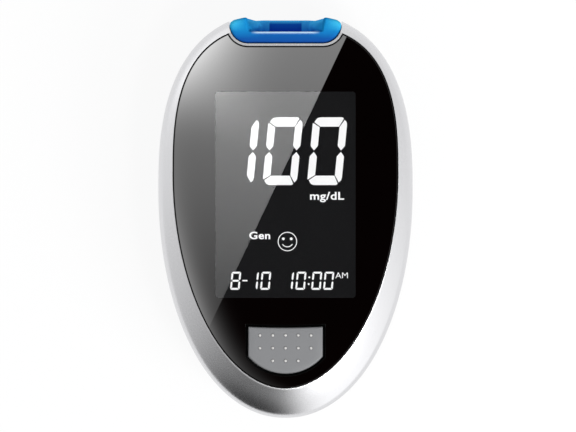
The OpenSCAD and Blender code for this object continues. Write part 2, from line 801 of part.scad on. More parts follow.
// Flat package under the board: body with two rows of leads
module chip(w, l, leads) {
    box(-w / 2, w / 2, -l / 2, l / 2, -chip_h, -chip_h / 10);
    pitch = l * 0.91 / (leads - 1);
    for (side = [-1, 1], k = [0:leads - 1])
        translate([side * (w / 2 + lead_w), (k - (leads - 1) / 2) * pitch, 0])
            box(-1.5 * lead_w, 1.5 * lead_w, -lead_w / 2, lead_w / 2, -chip_h / 2, 0);
}

module main_processor() {
    color([0.1, 0.1, 0.11]) translate([side_x - 0.5, processor_y, board_z])
        chip(processor_w, processor_l, 12);
}

module memory_chip() {
    color([0.1, 0.1, 0.11]) translate([-side_x, memory_y, board_z]) chip(memory_w, memory_l, 4);
}

module clock_crystal() {
    color([0.8, 0.8, 0.78]) translate([-side_x, crystal_y, board_z - crystal_r - fit_gap])
        rotate([90, 0, 0]) cylinder(r = crystal_r, h = crystal_l);
}

module sounder() {
    color([0.12, 0.12, 0.13]) translate([-side_x, sounder_y, board_z]) mirror([0, 0, 1]) difference() {
        cylinder(r = sounder_r, h = sounder_h);
        translate([0, 0, 0.7 * sounder_h]) cylinder(r = sounder_hole_r, h = sounder_h);
    }
}

module data_jack() {
    color([0.12, 0.12, 0.13]) difference() {
        union() {
            box(jack_end - jack_nose_l - jack_l, jack_end - jack_nose_l, jack_y - jack_body / 2,
                jack_y + jack_body / 2, board_z - jack_body, board_z);
            translate([jack_end - jack_nose_l - 0.5, jack_y, jack_z]) rotate([0, 90, 0])
                cylinder(d = jack_nose_d, h = jack_nose_l + 0.5);
        }
        translate([jack_end - jack_nose_l - jack_l + 1, jack_y, jack_z]) rotate([0, 90, 0])
            cylinder(d = jack_d, h = jack_l + jack_nose_l + cut);
    }
}

// ---- Batteries and their contacts ----

// Cell along +Y from its flat end: can, shoulder and contact
module cell() {
    nub = 0.9;
    rotate([-90, 0, 0]) {
        cylinder(d = cell_d, h = cell_l - nub - 0.3);
        cylinder(d = cell_d - 1.6, h = cell_l - nub);
        cylinder(d = 3.8, h = cell_l);
    }
}

module battery_left() {
    color([0.75, 0.62, 0.3]) translate([-cell_x, bay_y1 - plate_room - cell_l, cell_z]) cell();
}

module battery_right() {
    color([0.75, 0.62, 0.3]) translate([cell_x, bay_y0 + plate_room + cell_l, cell_z])
        rotate([0, 0, 180]) cell();
}

// Contact plate against an end wall
module plate(x, y) {
    w = 0.4 * cell_d;
    h = 0.38 * cell_d;
    box(x - w, x + w, y, y + plate_t, cell_z - h, cell_z + h);
}

// Conical spring along +Y: one tube whose coil narrows towards the cell
module coil_spring() {
    sides = 6;
    rings = [for (k = [0:coil_steps]) let (u = k / coil_steps, t = 360 * spring_turns * u,
        out = [cos(t), 0, sin(t)]) [for (j = [0:sides - 1]) let (a = 360 * j / sides)
            coil[k] + (out * cos(a) + [0, 1, 0] * sin(a)) * wire_d / 2]];
    points = [for (r = rings) for (p = r) p];
    skin = [for (k = [0:coil_steps - 1]) for (j = [0:sides - 1])
        let (a = k * sides + j, b = k * sides + (j + 1) % sides)
        for (t = [[a, b + sides, b], [a, a + sides, b + sides]]) t];
    polyhedron(points, concat(skin, [[for (j = [0:sides - 1]) j]],
        [[for (j = [sides - 1:-1:0]) coil_steps * sides + j]]), convexity = 8);
}

module battery_plate() {
    color([0.8, 0.8, 0.78]) plate(-cell_x, bay_y1 - plate_t);
}

module battery_spring() {
    color([0.8, 0.8, 0.78]) union() {
        plate(cell_x, bay_y1 - plate_t);
        translate([cell_x, bay_y1 - plate_t, cell_z]) mirror([0, 1, 0]) coil_spring();
    }
}

// One strip joins the left cell's spring to the right cell's plate
module battery_link() {
    color([0.8, 0.8, 0.78]) union() {
        plate(-cell_x, bay_y0);
        plate(cell_x, bay_y0);
        box(-cell_x, cell_x, bay_y0, bay_y0 + plate_t, cell_z - cell_d / 7, cell_z + cell_d / 7);
        translate([-cell_x, bay_y0 + plate_t, cell_z]) coil_spring();
    }
}

module cover_plan() {
    rounded(-cover_w / 2, cover_y0, cover_w / 2, cover_y1, cover_r);
}

module battery_cover() {
    color([0.7, 0.71, 0.73]) difference() {
        union() {
            slab(0, cover_t) cover_plan();
            // Hooks that reach over the case's edge
            for (side = [-1, 1]) translate([side * hook_x, 0, 0])
                box(-hook_w / 2, hook_w / 2, cover_y1 - 3, cover_y1 + hook_reach, cover_t - 0.2,
                    cover_t + 0.2 + hook_t);
        }
        for (side = [-1, 1]) translate([side * hook_x, 0, 0])
            box(-hook_w / 2 - cut, hook_w / 2 + cut, cover_y1, cover_y1 + 5, 0, rear_floor + 0.2);
        // Slots that free the latch tongue
        for (side = [-1, 1]) translate([side * (tongue_w + 0.8) / 2, 0, 0])
            box(-0.4, 0.4, cover_y0 - cut, cover_y0 + tongue_l, -cut, cover_t + cut);
        // Finger grooves across the tongue
        for (k = [0:3]) translate([-tongue_w / 2 + 1, cover_y0 + 1.6 + k * 1.1, -0.15]) rotate([0, 90, 0])
            cylinder(r = 0.4, h = tongue_w - 2);
    }
}

// ---- Screws ----

// Pan-head screw with its seat at z = 0 and its thread up
module screw(d, head_d, head_h, l) {
    difference() {
        translate([0, 0, -head_h]) cylinder(d = head_d, h = head_h);
        for (a = [0, 90]) rotate([0, 0, a])
            box(-head_d * 0.3, head_d * 0.3, -head_d * 0.07, head_d * 0.07, -head_h - cut, -head_h * 0.5);
    }
    translate([0, 0, -0.1]) cylinder(d = d, h = l + 0.1);
}

module case_screws() {
    color([0.6, 0.6, 0.62]) at_case_screws() translate([0, 0, screw_seat])
        screw(screw_d - 0.04, screw_head_d, screw_head_h, screw_l);
}

module board_screws() {
    color([0.6, 0.6, 0.62]) at_board_screws() translate([0, 0, board_z])
        screw(board_screw_d - 0.04, board_head_d, board_head_h, board_screw_l);
}

rear_case();
front_bezel();
front_lens();
lens_adhesive();
display_gasket();
strip_port();
main_button();
button_plunger();
button_switch();
display_upper_glass();
display_lower_glass();
backlight_guide();
backlight_leds();
display_frame();
display_connector();
circuit_board();
main_processor();
memory_chip();
clock_crystal();
sounder();
strip_connector();
strip_contacts();
data_jack();
set_switch();
set_plunger();
set_button();
battery_cover();
battery_left();
battery_right();
battery_plate();
battery_spring();
battery_link();
case_screws();
board_screws();
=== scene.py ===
# %% [markdown]
# A blood glucose meter that lies on its back: an egg-shaped silver bezel, a black glossy lens
# with a display behind it, a grey button with grip bumps, and a blue port for a test strip.
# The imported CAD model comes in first. It fixes every size and place, so the pieces made here
# only have to repeat its formulas on a finer grid and give each surface its finish.

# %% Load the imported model
import json
import math

import bmesh
import bpy
import numpy as np
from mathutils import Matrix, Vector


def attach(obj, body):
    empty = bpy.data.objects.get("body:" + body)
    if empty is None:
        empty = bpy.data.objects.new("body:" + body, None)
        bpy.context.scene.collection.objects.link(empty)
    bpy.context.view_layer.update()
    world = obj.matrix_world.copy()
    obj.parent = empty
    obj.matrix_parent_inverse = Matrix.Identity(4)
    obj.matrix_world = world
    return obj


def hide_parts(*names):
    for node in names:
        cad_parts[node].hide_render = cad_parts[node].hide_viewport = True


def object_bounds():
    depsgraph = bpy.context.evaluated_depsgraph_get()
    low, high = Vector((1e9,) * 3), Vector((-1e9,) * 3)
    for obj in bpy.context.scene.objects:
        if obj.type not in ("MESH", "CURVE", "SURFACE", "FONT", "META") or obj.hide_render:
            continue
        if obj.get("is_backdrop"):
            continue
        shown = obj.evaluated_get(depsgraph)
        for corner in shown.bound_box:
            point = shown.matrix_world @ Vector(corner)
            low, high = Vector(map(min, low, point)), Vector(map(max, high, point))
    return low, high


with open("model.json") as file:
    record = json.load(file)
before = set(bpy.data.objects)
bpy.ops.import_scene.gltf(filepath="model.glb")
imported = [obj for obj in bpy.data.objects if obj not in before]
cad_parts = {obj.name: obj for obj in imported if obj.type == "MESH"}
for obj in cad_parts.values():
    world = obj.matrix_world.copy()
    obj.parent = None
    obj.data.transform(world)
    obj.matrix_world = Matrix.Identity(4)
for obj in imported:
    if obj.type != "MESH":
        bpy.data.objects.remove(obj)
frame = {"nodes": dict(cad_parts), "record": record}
cad_box = [list(corner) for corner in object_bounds()]
MM = 0.001


def in_mm(corners):
    return [[round(v / MM, 2) for v in corner] for corner in corners]


print("CAD nodes:", len(frame["nodes"]), "box in mm:", in_mm(cad_box))

# %% [markdown]
# The photograph looks straight down on the meter from far away, so its outline is nearly a
# plan. A long lens at two metres gives that flat look, and the body and the lens, which lie
# at different heights, keep their measured sizes.

# %% Camera
VIEW_W = 138.24 * MM                     # what the frame spans at the meter
VIEW_Z = 0.02                            # the height at which it spans that
CAMERA_Z = 2.02
AIM = (0.60 * MM, 0.42 * MM)             # middle of the frame
SENSOR_W = 36

eye = bpy.data.objects.new("eye", bpy.data.cameras.new("eye"))
bpy.context.scene.collection.objects.link(eye)
eye.location = (*AIM, CAMERA_Z)
eye.data.sensor_width = SENSOR_W
eye.data.lens = SENSOR_W * (CAMERA_Z - VIEW_Z) / VIEW_W
eye.data.clip_end = 50
bpy.context.scene.camera = eye
bpy.context.scene.view_settings.view_transform = "Standard"
print("lens in mm:", round(eye.data.lens, 1))

# %% [markdown]
# Shader maths reads best as plain arithmetic. The class Wire wraps one socket, and each
# operator on it adds one Math node. Fades and bell curves between places are wanted often,
# so they have methods of their own. The class Finish holds one material, or the world, and
# its method "node" makes any node from its type, its settings and its inputs.


# %% Shader arithmetic
class Wire:
    """A shader socket that adds, multiplies and compares like a number, one Math node a step."""

    def __init__(self, finish, socket):
        self.finish, self.socket = finish, socket

    def maths(self, operation, *rest):
        return self.finish.maths(operation, self, *rest)

    def __add__(self, other):
        return self.maths("ADD", other)

    def __sub__(self, other):
        return self.maths("SUBTRACT", other)

    def __rsub__(self, other):
        return self.finish.maths("SUBTRACT", other, self)

    def __mul__(self, other):
        return self.maths("MULTIPLY", other)

    def __truediv__(self, other):
        return self.maths("DIVIDE", other)

    def __rtruediv__(self, other):
        return self.finish.maths("DIVIDE", other, self)

    def __pow__(self, other):
        return self.maths("POWER", other)

    def __gt__(self, other):
        return self.maths("GREATER_THAN", other)

    __radd__ = __add__
    __rmul__ = __mul__

    def clamped(self):
        return self.maths("MINIMUM", 1.0).maths("MAXIMUM", 0.0)

    def fade(self, start, end):
        """0 on start's side, 1 on end's side, and a straight rise between the two."""
        return ((self - start) / (end - start)).clamped()

    def bell(self):
        """The bell curve: e to the power of minus the square."""
        return (self * self * -1).maths("EXPONENT")


def srgb(*levels):
    """Linear colour of a colour given as 0 to 255 on the screen."""
    c = np.array(levels) / 255
    c = np.where(c <= 0.04045, c / 12.92, ((c + 0.055) / 1.055) ** 2.4)
    return (*map(float, c), 1.0)


def tint(colour, k=1.0):
    """The colour times k, with an alpha of 1."""
    return (*(c * k for c in colour), 1.0)


def grey(level):
    return (level, level, level, 1.0)


class Finish:
    """One node tree. Constant sockets of a material's shader are set straight on the shader."""

    def __init__(self, name, tree=None, **constants):
        if tree is None:
            self.material = bpy.data.materials.new(name)
            self.material.use_nodes = True
            tree = self.material.node_tree
            self.shader = tree.nodes["Principled BSDF"]
            for socket, value in constants.items():
                self.shader.inputs[socket.replace("_", " ")].default_value = value
        self.tree = tree

    def node(self, kind, settings=None, sockets=None, out=0):
        made = self.tree.nodes.new("ShaderNode" + kind)
        for key, value in (settings or {}).items():
            if key == "stops":
                self.stops(made.color_ramp, value)
            else:
                setattr(made, key, value)
        for key, value in (sockets or {}).items():
            self.plug(made.inputs[key], value)
        return Wire(self, made.outputs[out])

    def stops(self, ramp, values):
        while len(ramp.elements) < len(values):
            ramp.elements.new(0.5)
        for element, (place, level) in zip(ramp.elements, values):
            element.position, element.color = place, grey(level)

    def plug(self, socket, value):
        if isinstance(value, Wire):
            self.tree.links.new(value.socket, socket)
        else:
            socket.default_value = value

    def maths(self, operation, *values):
        return self.node("Math", {"operation": operation}, dict(enumerate(values)))

    def blend(self, factor, a, b):
        return self.node("Mix", {"data_type": "RGBA"}, {0: factor, 6: a, 7: b}, out=2)

    def place(self):
        """Object coordinates, in metres."""
        return self.node("TexCoord", out="Object")

    def along(self, axis):
        """One object coordinate, 0 for X to 2 for Z, in millimetres."""
        return self.node("SeparateXYZ", sockets={0: self.place()}, out=axis) / MM

    def noise(self, size, detail=2.0, roughness=0.5):
        """Noise whose features are about size millimetres across."""
        return self.node("TexNoise", sockets={"Vector": self.place(), "Scale": 1 / (size * MM),
                                              "Detail": detail, "Roughness": roughness})

    def bump(self, height, depth):
        """A normal from a height of 0 to 1 that stands for depth millimetres."""
        return self.node("Bump", {}, {"Distance": depth * MM, "Height": height}, out="Normal")

    def rays(self, *kinds):
        """1 for light paths of the named kinds, 0 for the others."""
        return sum(self.node("LightPath", out=f"Is {kind} Ray") for kind in kinds).clamped()

    def wear(self, **links):
        for socket, value in links.items():
            self.plug(self.shader.inputs[socket.replace("_", " ")], value)
        return self


print("shader helpers ready")

# %% [markdown]
# The background of the photograph is pure white with no shadow to speak of. The floor is
# white, and most of what the camera, mirrors and glass see of it is plain white light, so a
# soft trace of the meter's shadow is left. From below it is clear, and scattered light passes
# it, so that the meter's back can be looked at. The world is white for the camera. Polished
# and metallic surfaces see a studio instead: bright on the right and upper left, with one
# dark stretch at the lower left, where the photograph's rim turns dark.

# %% Floor and world
def plane(name, centre, half_x, half_y):
    """A level rectangle round a centre, in metres."""
    x, y, z = centre
    mesh = bpy.data.meshes.new(name)
    mesh.from_pydata([(x + sx * half_x, y + sy * half_y, z)
                      for sx, sy in ((-1, -1), (1, -1), (1, 1), (-1, 1))], [], [(0, 1, 2, 3)])
    made = bpy.data.objects.new(name, mesh)
    bpy.context.scene.collection.objects.link(made)
    return made


REACH = 6.0
FLOOR_Z = -0.05 * MM
PLAIN_LIGHT = 0.88                       # share of the seen floor that is plain light
floor = plane("floor", (0, 0, FLOOR_Z), REACH, REACH)
paper = Finish("white_paper", Base_Color=grey(0.74), Roughness=0.9)
glow = paper.node("Emission", sockets={"Strength": 1.02})
seen = paper.rays("Camera", "Glossy", "Transmission")
matt = Wire(paper, paper.shader.outputs[0])
shown = paper.node("MixShader", sockets={0: seen * PLAIN_LIGHT, 1: matt, 2: glow})
under = paper.node("NewGeometry", out="Backfacing")
shown = paper.node("MixShader", sockets={0: under, 1: shown, 2: paper.node("BsdfTransparent")})
paper.plug(paper.tree.nodes["Material Output"].inputs["Surface"], shown)
floor.data.materials.append(paper.material)
floor.visible_diffuse = floor.visible_shadow = False
floor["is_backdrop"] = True

world = bpy.context.scene.world or bpy.data.worlds.new("studio")
bpy.context.scene.world = world
world.use_nodes = True
world.node_tree.nodes.clear()
sky = Finish("studio", tree=world.node_tree)
toward = sky.node("TexCoord", out="Generated")
x, y, z = (sky.node("SeparateXYZ", sockets={0: toward}, out=axis) for axis in range(3))
overhead = z.fade(0.80, 0.95)
turn = y.maths("ARCTAN2", x) / (2 * math.pi) + 0.5
# Brightness round the horizon: the left is 0, the near side 0.25, the right 0.5, the far side 0.75
ring = sky.node("ValToRGB", {"stops": [
    (0.0, 0.90), (0.06, 0.70), (0.105, 0.27), (0.14, 0.04), (0.215, 0.02), (0.245, 0.06),
    (0.29, 1.00), (0.33, 1.44), (0.40, 1.41), (0.5, 0.96), (0.62, 0.80), (0.75, 1.08),
    (0.83, 1.20), (0.88, 1.60), (0.925, 1.68), (0.965, 1.08), (1.0, 0.90)]}, {"Fac": turn})
plain = sky.blend(sky.rays("Camera", "Transmission"), (0.64, 0.65, 0.66, 1), grey(1))
level = sky.blend(sky.rays("Glossy"), plain, sky.blend(overhead, ring, grey(0.60)))
ground = sky.node("Background", sockets={"Color": level})
sky.plug(world.node_tree.nodes.new("ShaderNodeOutputWorld").inputs["Surface"], ground)
print("floor and world made")

# %% [markdown]
# A soft box at the lower right gives the matt surfaces their shape. It is hidden from
# reflections, because the polished surfaces already see the studio above. A small lamp
# higher up puts the point of light on each grip bump of the button.


# %% Lamps
def lamp(name, place, size, energy, mirrored):
    """A square lamp that faces the origin, hidden from mirrors and glass unless mirrored."""
    made = bpy.data.objects.new(name, bpy.data.lights.new(name, "AREA"))
    bpy.context.scene.collection.objects.link(made)
    made.location, made.rotation_mode = place, "QUATERNION"
    made.rotation_quaternion = made.location.to_track_quat("Z", "Y")
    made.data.size, made.data.energy = size, energy
    made.visible_glossy, made.visible_transmission, made.visible_camera = mirrored, mirrored, False
    print(name, "at", place)


lamp("soft_box", (0.44, -0.40, 0.46), 0.36, 3.6, False)
lamp("spark", (0.20, -0.22, 0.70), 0.12, 1.2, True)

# %% [markdown]
# The outlines are the ones the part is built on: an egg whose nose and tail are
# superellipses that meet at the widest station. The lens has an egg of its own inside the
# body's, and the rim runs between the two.

# %% Sizes and outlines, in millimetres
HALF_W, WIDE_Y, NOSE, TAIL = 30.5, 7.1, 42.25, 55.1
NOSE_P, TAIL_P = 2.515, 2.08
LENS_HALF_W, LENS_Y, LENS_NOSE, LENS_TAIL = 27.05, 10.2, 35.95, 51.1
LENS_NOSE_P, LENS_TAIL_P = 2.81, 1.955
END_Y, PORT_Y, PORT_HALF_W, PORT_R = 47.3, 41.8, 13.4, 4.4
BODY_TOP, LENS_TOP, LENS_Z, WEB_TOP, SHOULDER_Z, BELT_Z = 25.5, 25.4, 23.4, 23.1, 19.8, 13.0
FACE_DROP, SHOULDER_DROP = 2.2, 3.5
BELLY_IN, BELT_GROOVE = 0.5, 0.25
WINDOW_X, WINDOW_Y0, WINDOW_Y1, WINDOW_R = 16.8, -19.2, 30.2, 0.8


def egg(t, half_w, y, nose, tail, nose_p, tail_p):
    """Points of an egg at angles t, in radians: |cos| and |sin| to the power 2 / p, signs kept."""
    c, s = np.cos(t), np.sin(t)
    ahead = s >= 0
    e = 2 / np.where(ahead, nose_p, tail_p)
    return (half_w * np.sign(c) * np.abs(c) ** e,
            y + np.where(ahead, nose, tail) * np.sign(s) * np.abs(s) ** e)


def body_line(t, inset=0.0):
    """Outline of the body, drawn in by inset, with its nose cut flat."""
    x, y = egg(t, HALF_W - inset, WIDE_Y, NOSE - inset, TAIL - inset, NOSE_P, TAIL_P)
    return x, np.minimum(y, END_Y - inset)


def lens_line(t, inset=0.0):
    """Outline of the lens pocket, drawn in by inset."""
    return egg(t, LENS_HALF_W - inset, LENS_Y, LENS_NOSE - inset, LENS_TAIL - inset,
               LENS_NOSE_P, LENS_TAIL_P)


def rim_line(t, f):
    """Outline a fraction f of the way from the lens out to the body."""
    (ax, ay), (bx, by) = lens_line(t), body_line(t)
    return ax + (bx - ax) * f, ay + (by - ay) * f


def rim_height(f):
    """Height of the rim: a sloping face that turns down round a shoulder."""
    return BODY_TOP - FACE_DROP * f - SHOULDER_DROP * (1 - (1 - f ** 4) ** 0.25)


print("body without its port:", 2 * HALF_W, "by", round(END_Y - WIDE_Y + TAIL, 2), "mm")

# %% [markdown]
# Every new surface is a grid of points worked out as whole arrays. These helpers join the
# grid into quads, turn it into an object that sits at the origin, and hang it on its body.


# %% Mesh helpers
def quads(rows, cols, loop_rows=False, loop_cols=True):
    """Quads between neighbours of a rows x cols grid, wrapping round where it is a loop."""
    r, c = np.meshgrid(np.arange(rows - (not loop_rows)), np.arange(cols - (not loop_cols)),
                       indexing="ij")
    here, above = r * cols, (r + 1) % rows * cols
    on = (c + 1) % cols
    return np.stack([here + c, here + on, above + on, above + c], -1).reshape(-1, 4).tolist()


def outward(mesh, weld=0.0):
    """Merges doubles closer than weld millimetres, then turns every face outwards."""
    work = bmesh.new()
    work.from_mesh(mesh)
    if weld:
        bmesh.ops.remove_doubles(work, verts=work.verts, dist=weld * MM)
    bmesh.ops.recalc_face_normals(work, faces=work.faces)
    work.to_mesh(mesh)
    work.free()


def piece(name, points, faces, finish, slot, body="meter", replaces=(), crease=35):
    """An object from points in millimetres."""
    mesh = bpy.data.meshes.new(name)
    mesh.from_pydata((np.asarray(points, float) * MM).tolist(), [], faces)
    hang(name, mesh, finish, slot, body, replaces, crease)


def hang(name, mesh, finish, slot, body="meter", replaces=(), crease=35, weld=0.0):
    """An object on a body from a mesh, with edges sharper than crease degrees kept sharp."""
    outward(mesh, weld)
    mesh.shade_smooth()
    mesh.set_sharp_from_angle(angle=math.radians(crease))
    mesh.materials.clear()
    mesh.materials.append(finish.material)
    made = bpy.data.objects.new(name, mesh)
    bpy.context.scene.collection.objects.link(made)
    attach(made, body)
    if replaces:
        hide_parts(*replaces)
    print(f"{name}: {len(mesh.polygons)} faces")


def at(outline, z):
    """Points of an outline at one height."""
    return np.column_stack([outline, np.full(len(outline), z)])


def prism(outline, z0, z1, bevel=0.0):
    """Points and faces of a flat piece over a convex outline, its top edge cut back by bevel."""
    rings = [at(outline, z0), at(outline, z1 - bevel)]
    if bevel:
        middle = outline.mean(0)
        away = outline - middle
        share = 1 - bevel / np.linalg.norm(away, axis=1).mean()
        rings.append(at(middle + away * share, z1))
    n = len(outline)
    last = (len(rings) - 1) * n
    faces = quads(len(rings), n) + [list(range(n))[::-1], list(range(last, last + n))]
    return np.concatenate(rings), faces


def together(parts):
    """One list of points and one of faces from several."""
    points, faces, start = [], [], 0
    for p, f in parts:
        points.append(p)
        faces += [[start + k for k in face] for face in f]
        start += len(p)
    return np.concatenate(points), faces


print("mesh helpers ready")

# %% [markdown]
# The bezel is moulded plastic under silver paint. The paint is a metal whose roughness
# varies in fine flakes, under a faint orange peel. Colour comes from what it reflects, so
# the base stays a plain light grey.


# %% Silver paint
SILVER_COLOUR = (0.72, 0.72, 0.735)
SILVER = Finish("silver_paint", Metallic=1.0)
flakes = SILVER.noise(0.12, 3.0, 0.7)
mottle = flakes * 0.7 + SILVER.noise(9.0) * 0.3
SILVER.wear(Base_Color=SILVER.blend(mottle, tint(SILVER_COLOUR, 0.955), tint(SILVER_COLOUR)),
            Roughness=0.27 + (flakes - 0.5) * 0.10, Normal=SILVER.bump(flakes, 0.0015))
print("silver paint made")

# %% [markdown]
# The bezel's skin is one profile carried round the outline: up the wall from the shadow
# groove, round the shoulder, up the sloping rim to the lip, and down into the lens pocket.
# It lies 0.03 mm over the part's own bezel, whose flat facets it hides, and its back is
# buried in that wall, so it is a closed solid. It stops at the strip port on both sides.

# %% Bezel skin
SKIN = 0.03
SKIN_BACK = 0.9                          # how far inside the wall the skin's back lies
RING = 384
PORT_SIDE = PORT_HALF_W + 0.1


def sweep(line, half_gap, count):
    """Angles that follow a line from x = half_gap round the tail to x = -half_gap."""
    t = np.linspace(math.radians(20), math.radians(89), 4000)
    start = np.interp(-half_gap, -line(t)[0], t)
    return np.linspace(start, -math.pi - start, count)


def skin_row(line, value, z):
    """Points of one row: an outline function, its second argument and a height."""
    t = sweep(lambda t: line(t, value), PORT_SIDE, RING)
    return at(np.column_stack(line(t, value)), z)


wall = np.linspace(0.95, 0.05, 10)
shoulder = np.sqrt(np.sin(np.radians(np.linspace(90, 6, 26))))
face = (0.26, 0.19, 0.12, 0.06, 0.02)
outer = [(body_line, BELLY_IN + BELT_GROOVE, BELT_Z)]
outer += [(body_line, BELLY_IN * u * u, SHOULDER_Z - (SHOULDER_Z - BELT_Z) * u) for u in wall]
outer += [(rim_line, f, rim_height(f)) for f in (*shoulder, *face)]
inner = [(lens_line, 0.0, BODY_TOP - 0.01), (lens_line, 0.02, WEB_TOP + 0.05),
         (rim_line, 0.3, WEB_TOP - 0.2), (rim_line, 0.7, WEB_TOP - 0.9),
         (body_line, SKIN_BACK, SHOULDER_Z - 0.5),
         (body_line, BELLY_IN + SKIN_BACK, BELT_Z + 0.15)]
grid = np.stack([skin_row(*row) for row in outer + inner])


def lifted(grid, count, by):
    """The first count rows moved by a distance along the surface's normal, the rest left alone."""
    across = np.gradient(grid, axis=0)
    along = np.gradient(grid, axis=1)
    normal = np.cross(across, along)
    normal /= np.linalg.norm(normal, axis=-1, keepdims=True) + 1e-12
    if (normal[0, :, :2] * grid[0, :, :2]).sum() < 0:
        normal = -normal
    moved = grid.copy()
    moved[:count] += normal[:count] * by
    return moved


def tube(rings, closed=True):
    """Skin over rows of points, the last joined to the first, with ends if it isn't closed."""
    rows, cols = len(rings), len(rings[0])
    faces = quads(rows, cols, loop_rows=True, loop_cols=closed)
    if not closed:
        end = np.arange(rows) * cols
        faces += [end.tolist(), (end + cols - 1)[::-1].tolist()]
    return np.concatenate(rings), faces


points, faces = tube(lifted(grid, len(outer), SKIN), closed=False)
piece("bezel_skin", points, faces, SILVER, "silver_paint", crease=50)

# %% [markdown]
# The lens is a black printed sheet with a clear window over the display. Its outline is the
# egg, cut by a notch round the strip port. The notch's corners are arcs, so the point where
# an arc meets the egg is found by halving. A flat shape with a hole is easiest to fill as a
# triangulation of its edges, and the top edge gets a small chamfer that catches a line of
# light, as polished acrylic does.

# %% Lens outline
LENS_GAP = 0.25
NOTCH_GAP = 0.65


def lens_outline(inset, count=300, arc=14):
    """The lens's outline drawn in by inset: the egg from notch to notch, then the notch."""
    r = PORT_R + NOTCH_GAP + inset
    cx, cy = PORT_HALF_W - PORT_R, PORT_Y + PORT_R
    half_w, nose = LENS_HALF_W - inset, LENS_NOSE - inset

    def outside(a):
        x, y = cx + r * math.cos(a), cy + r * math.sin(a)
        return (x / half_w) ** LENS_NOSE_P + ((y - LENS_Y) / nose) ** LENS_NOSE_P - 1

    low, high = -math.pi / 2, 0.0
    for _ in range(50):
        mid = (low + high) / 2
        low, high = (mid, high) if outside(mid) < 0 else (low, mid)
    t = sweep(lambda t: lens_line(t, inset), cx + r * math.cos(low), count)
    ex, ey = lens_line(t, inset)
    left = np.linspace(math.pi - low, math.pi * 1.5, arc)[1:]
    right = np.linspace(-math.pi / 2, low, arc)[:-1]
    return np.column_stack([np.concatenate([ex, -cx + r * np.cos(left), cx + r * np.cos(right)]),
                            np.concatenate([ey, cy + r * np.sin(left), cy + r * np.sin(right)])])


print("lens outline points:", len(lens_outline(LENS_GAP)))

# %% [markdown]
# The lens has two openings. The window's is a rectangle with small round corners, and the
# button's is a wide arc below with a straight top that is very slightly hollow.

# %% Window and button outlines
def rounded_box(x0, y0, x1, y1, r, steps=8):
    """Outline of a rectangle with corners of radius r, anticlockwise."""
    a = np.radians(np.linspace(0, 90, steps))
    corners = [(x1 - r, y1 - r, 0), (x0 + r, y1 - r, 90), (x0 + r, y0 + r, 180),
               (x1 - r, y0 + r, 270)]
    return np.concatenate([np.column_stack([cx + r * np.cos(a + math.radians(turn)),
                                            cy + r * np.sin(a + math.radians(turn))])
                           for cx, cy, turn in corners])


WINDOW_LINE = rounded_box(-WINDOW_X, WINDOW_Y0, WINDOW_X, WINDOW_Y1, WINDOW_R)
BUTTON_HALF_W, BUTTON_L, BUTTON_ARC_R, BUTTON_SAG = 8.9, 11.2, 11.7, 0.24
BUTTON_Y1 = WINDOW_Y0 - 6.9
BUTTON_GAP = 0.65


def button_line(inset, bottom=60, top=40):
    """The button's outline drawn in by inset: an arc below, a slightly hollow edge above."""
    half, r = BUTTON_HALF_W - inset, BUTTON_ARC_R - inset
    corner = math.acos(half / r)
    t = np.linspace(math.pi + corner, 2 * math.pi - corner, bottom)
    x = np.linspace(half, -half, top)
    cy = BUTTON_Y1 - BUTTON_L + BUTTON_ARC_R
    edge = np.column_stack([x, BUTTON_Y1 - inset - BUTTON_SAG * (1 - (x / half) ** 2)])
    return np.concatenate([np.column_stack([r * np.cos(t), cy + r * np.sin(t)]), edge])


print("window and button outline points:", len(WINDOW_LINE), len(button_line(0)))

# %% [markdown]
# The sheet is skinned from its outlines: each edge loop is stacked with its chamfer, and the
# flat top and bottom are filled with a constrained triangulation.


# %% Filling a flat shape
from mathutils import Matrix, Vector
from mathutils.geometry import delaunay_2d_cdt


def within(x, y, loop):
    """True where a point lies inside a loop: it has an odd number of edges to its right."""
    (ax, ay), (bx, by) = loop.T, np.roll(loop, -1, 0).T
    spans = (ay > y) != (by > y)
    ax, ay, bx, by = ax[spans], ay[spans], bx[spans], by[spans]
    return (x < ax + (y - ay) / (by - ay) * (bx - ax)).sum() % 2 == 1


def filled(loops):
    """Triangles between the outer loop, listed first, and the holes in it."""
    sizes = [len(p) for p in loops]
    starts = np.cumsum([0] + sizes)
    edges = [(s + k, s + (k + 1) % n) for s, n in zip(starts, sizes) for k in range(n)]
    flat = np.concatenate(loops)
    _, _, faces, *_ = delaunay_2d_cdt([Vector(p) for p in flat], edges, [], 1, 1e-7)
    middles = [flat[list(f)].mean(0) for f in faces]
    return [list(f) for f, middle in zip(faces, middles)
            if not any(within(*middle, hole) for hole in loops[1:])]


def sheet(loops_at, levels):
    """Solid sheet over levels of (inset, z), upwards: loops_at(inset) gives its edge and holes."""
    layers = [[at(loop, z) for loop in loops_at(inset)] for inset, z in levels]
    per_layer = sum(len(loop) for loop in layers[0])
    last = (len(levels) - 1) * per_layer
    faces, start = [], 0
    for loop in layers[0]:
        k = np.arange(len(loop))
        on = (k + 1) % len(loop)
        for low in range(start, start + last, per_layer):
            high = low + per_layer
            faces += np.stack([low + k, low + on, high + on, high + k], -1).tolist()
        start += len(loop)
    faces += [f[::-1] for f in filled(loops_at(levels[0][0]))]
    faces += [[last + k for k in f] for f in filled(loops_at(levels[-1][0]))]
    return np.concatenate([loop for layer in layers for loop in layer]), faces


hollow = [rounded_box(-2, -2, 2, 2, 0.5), rounded_box(-1, -1, 1, 1, 0.5)[::-1]]
print("a square with a square hole fills with", len(filled(hollow)), "triangles")

# %% [markdown]
# Black print under polished acrylic: almost no colour of its own, and a reflection as sharp
# as glass. The window is the same acrylic left clear, so light goes through it. It has two
# faces that reflect where the print has one, so its index is lower: both then look alike.
# The chamfer of the button's opening is less than half as wide as the outer one.


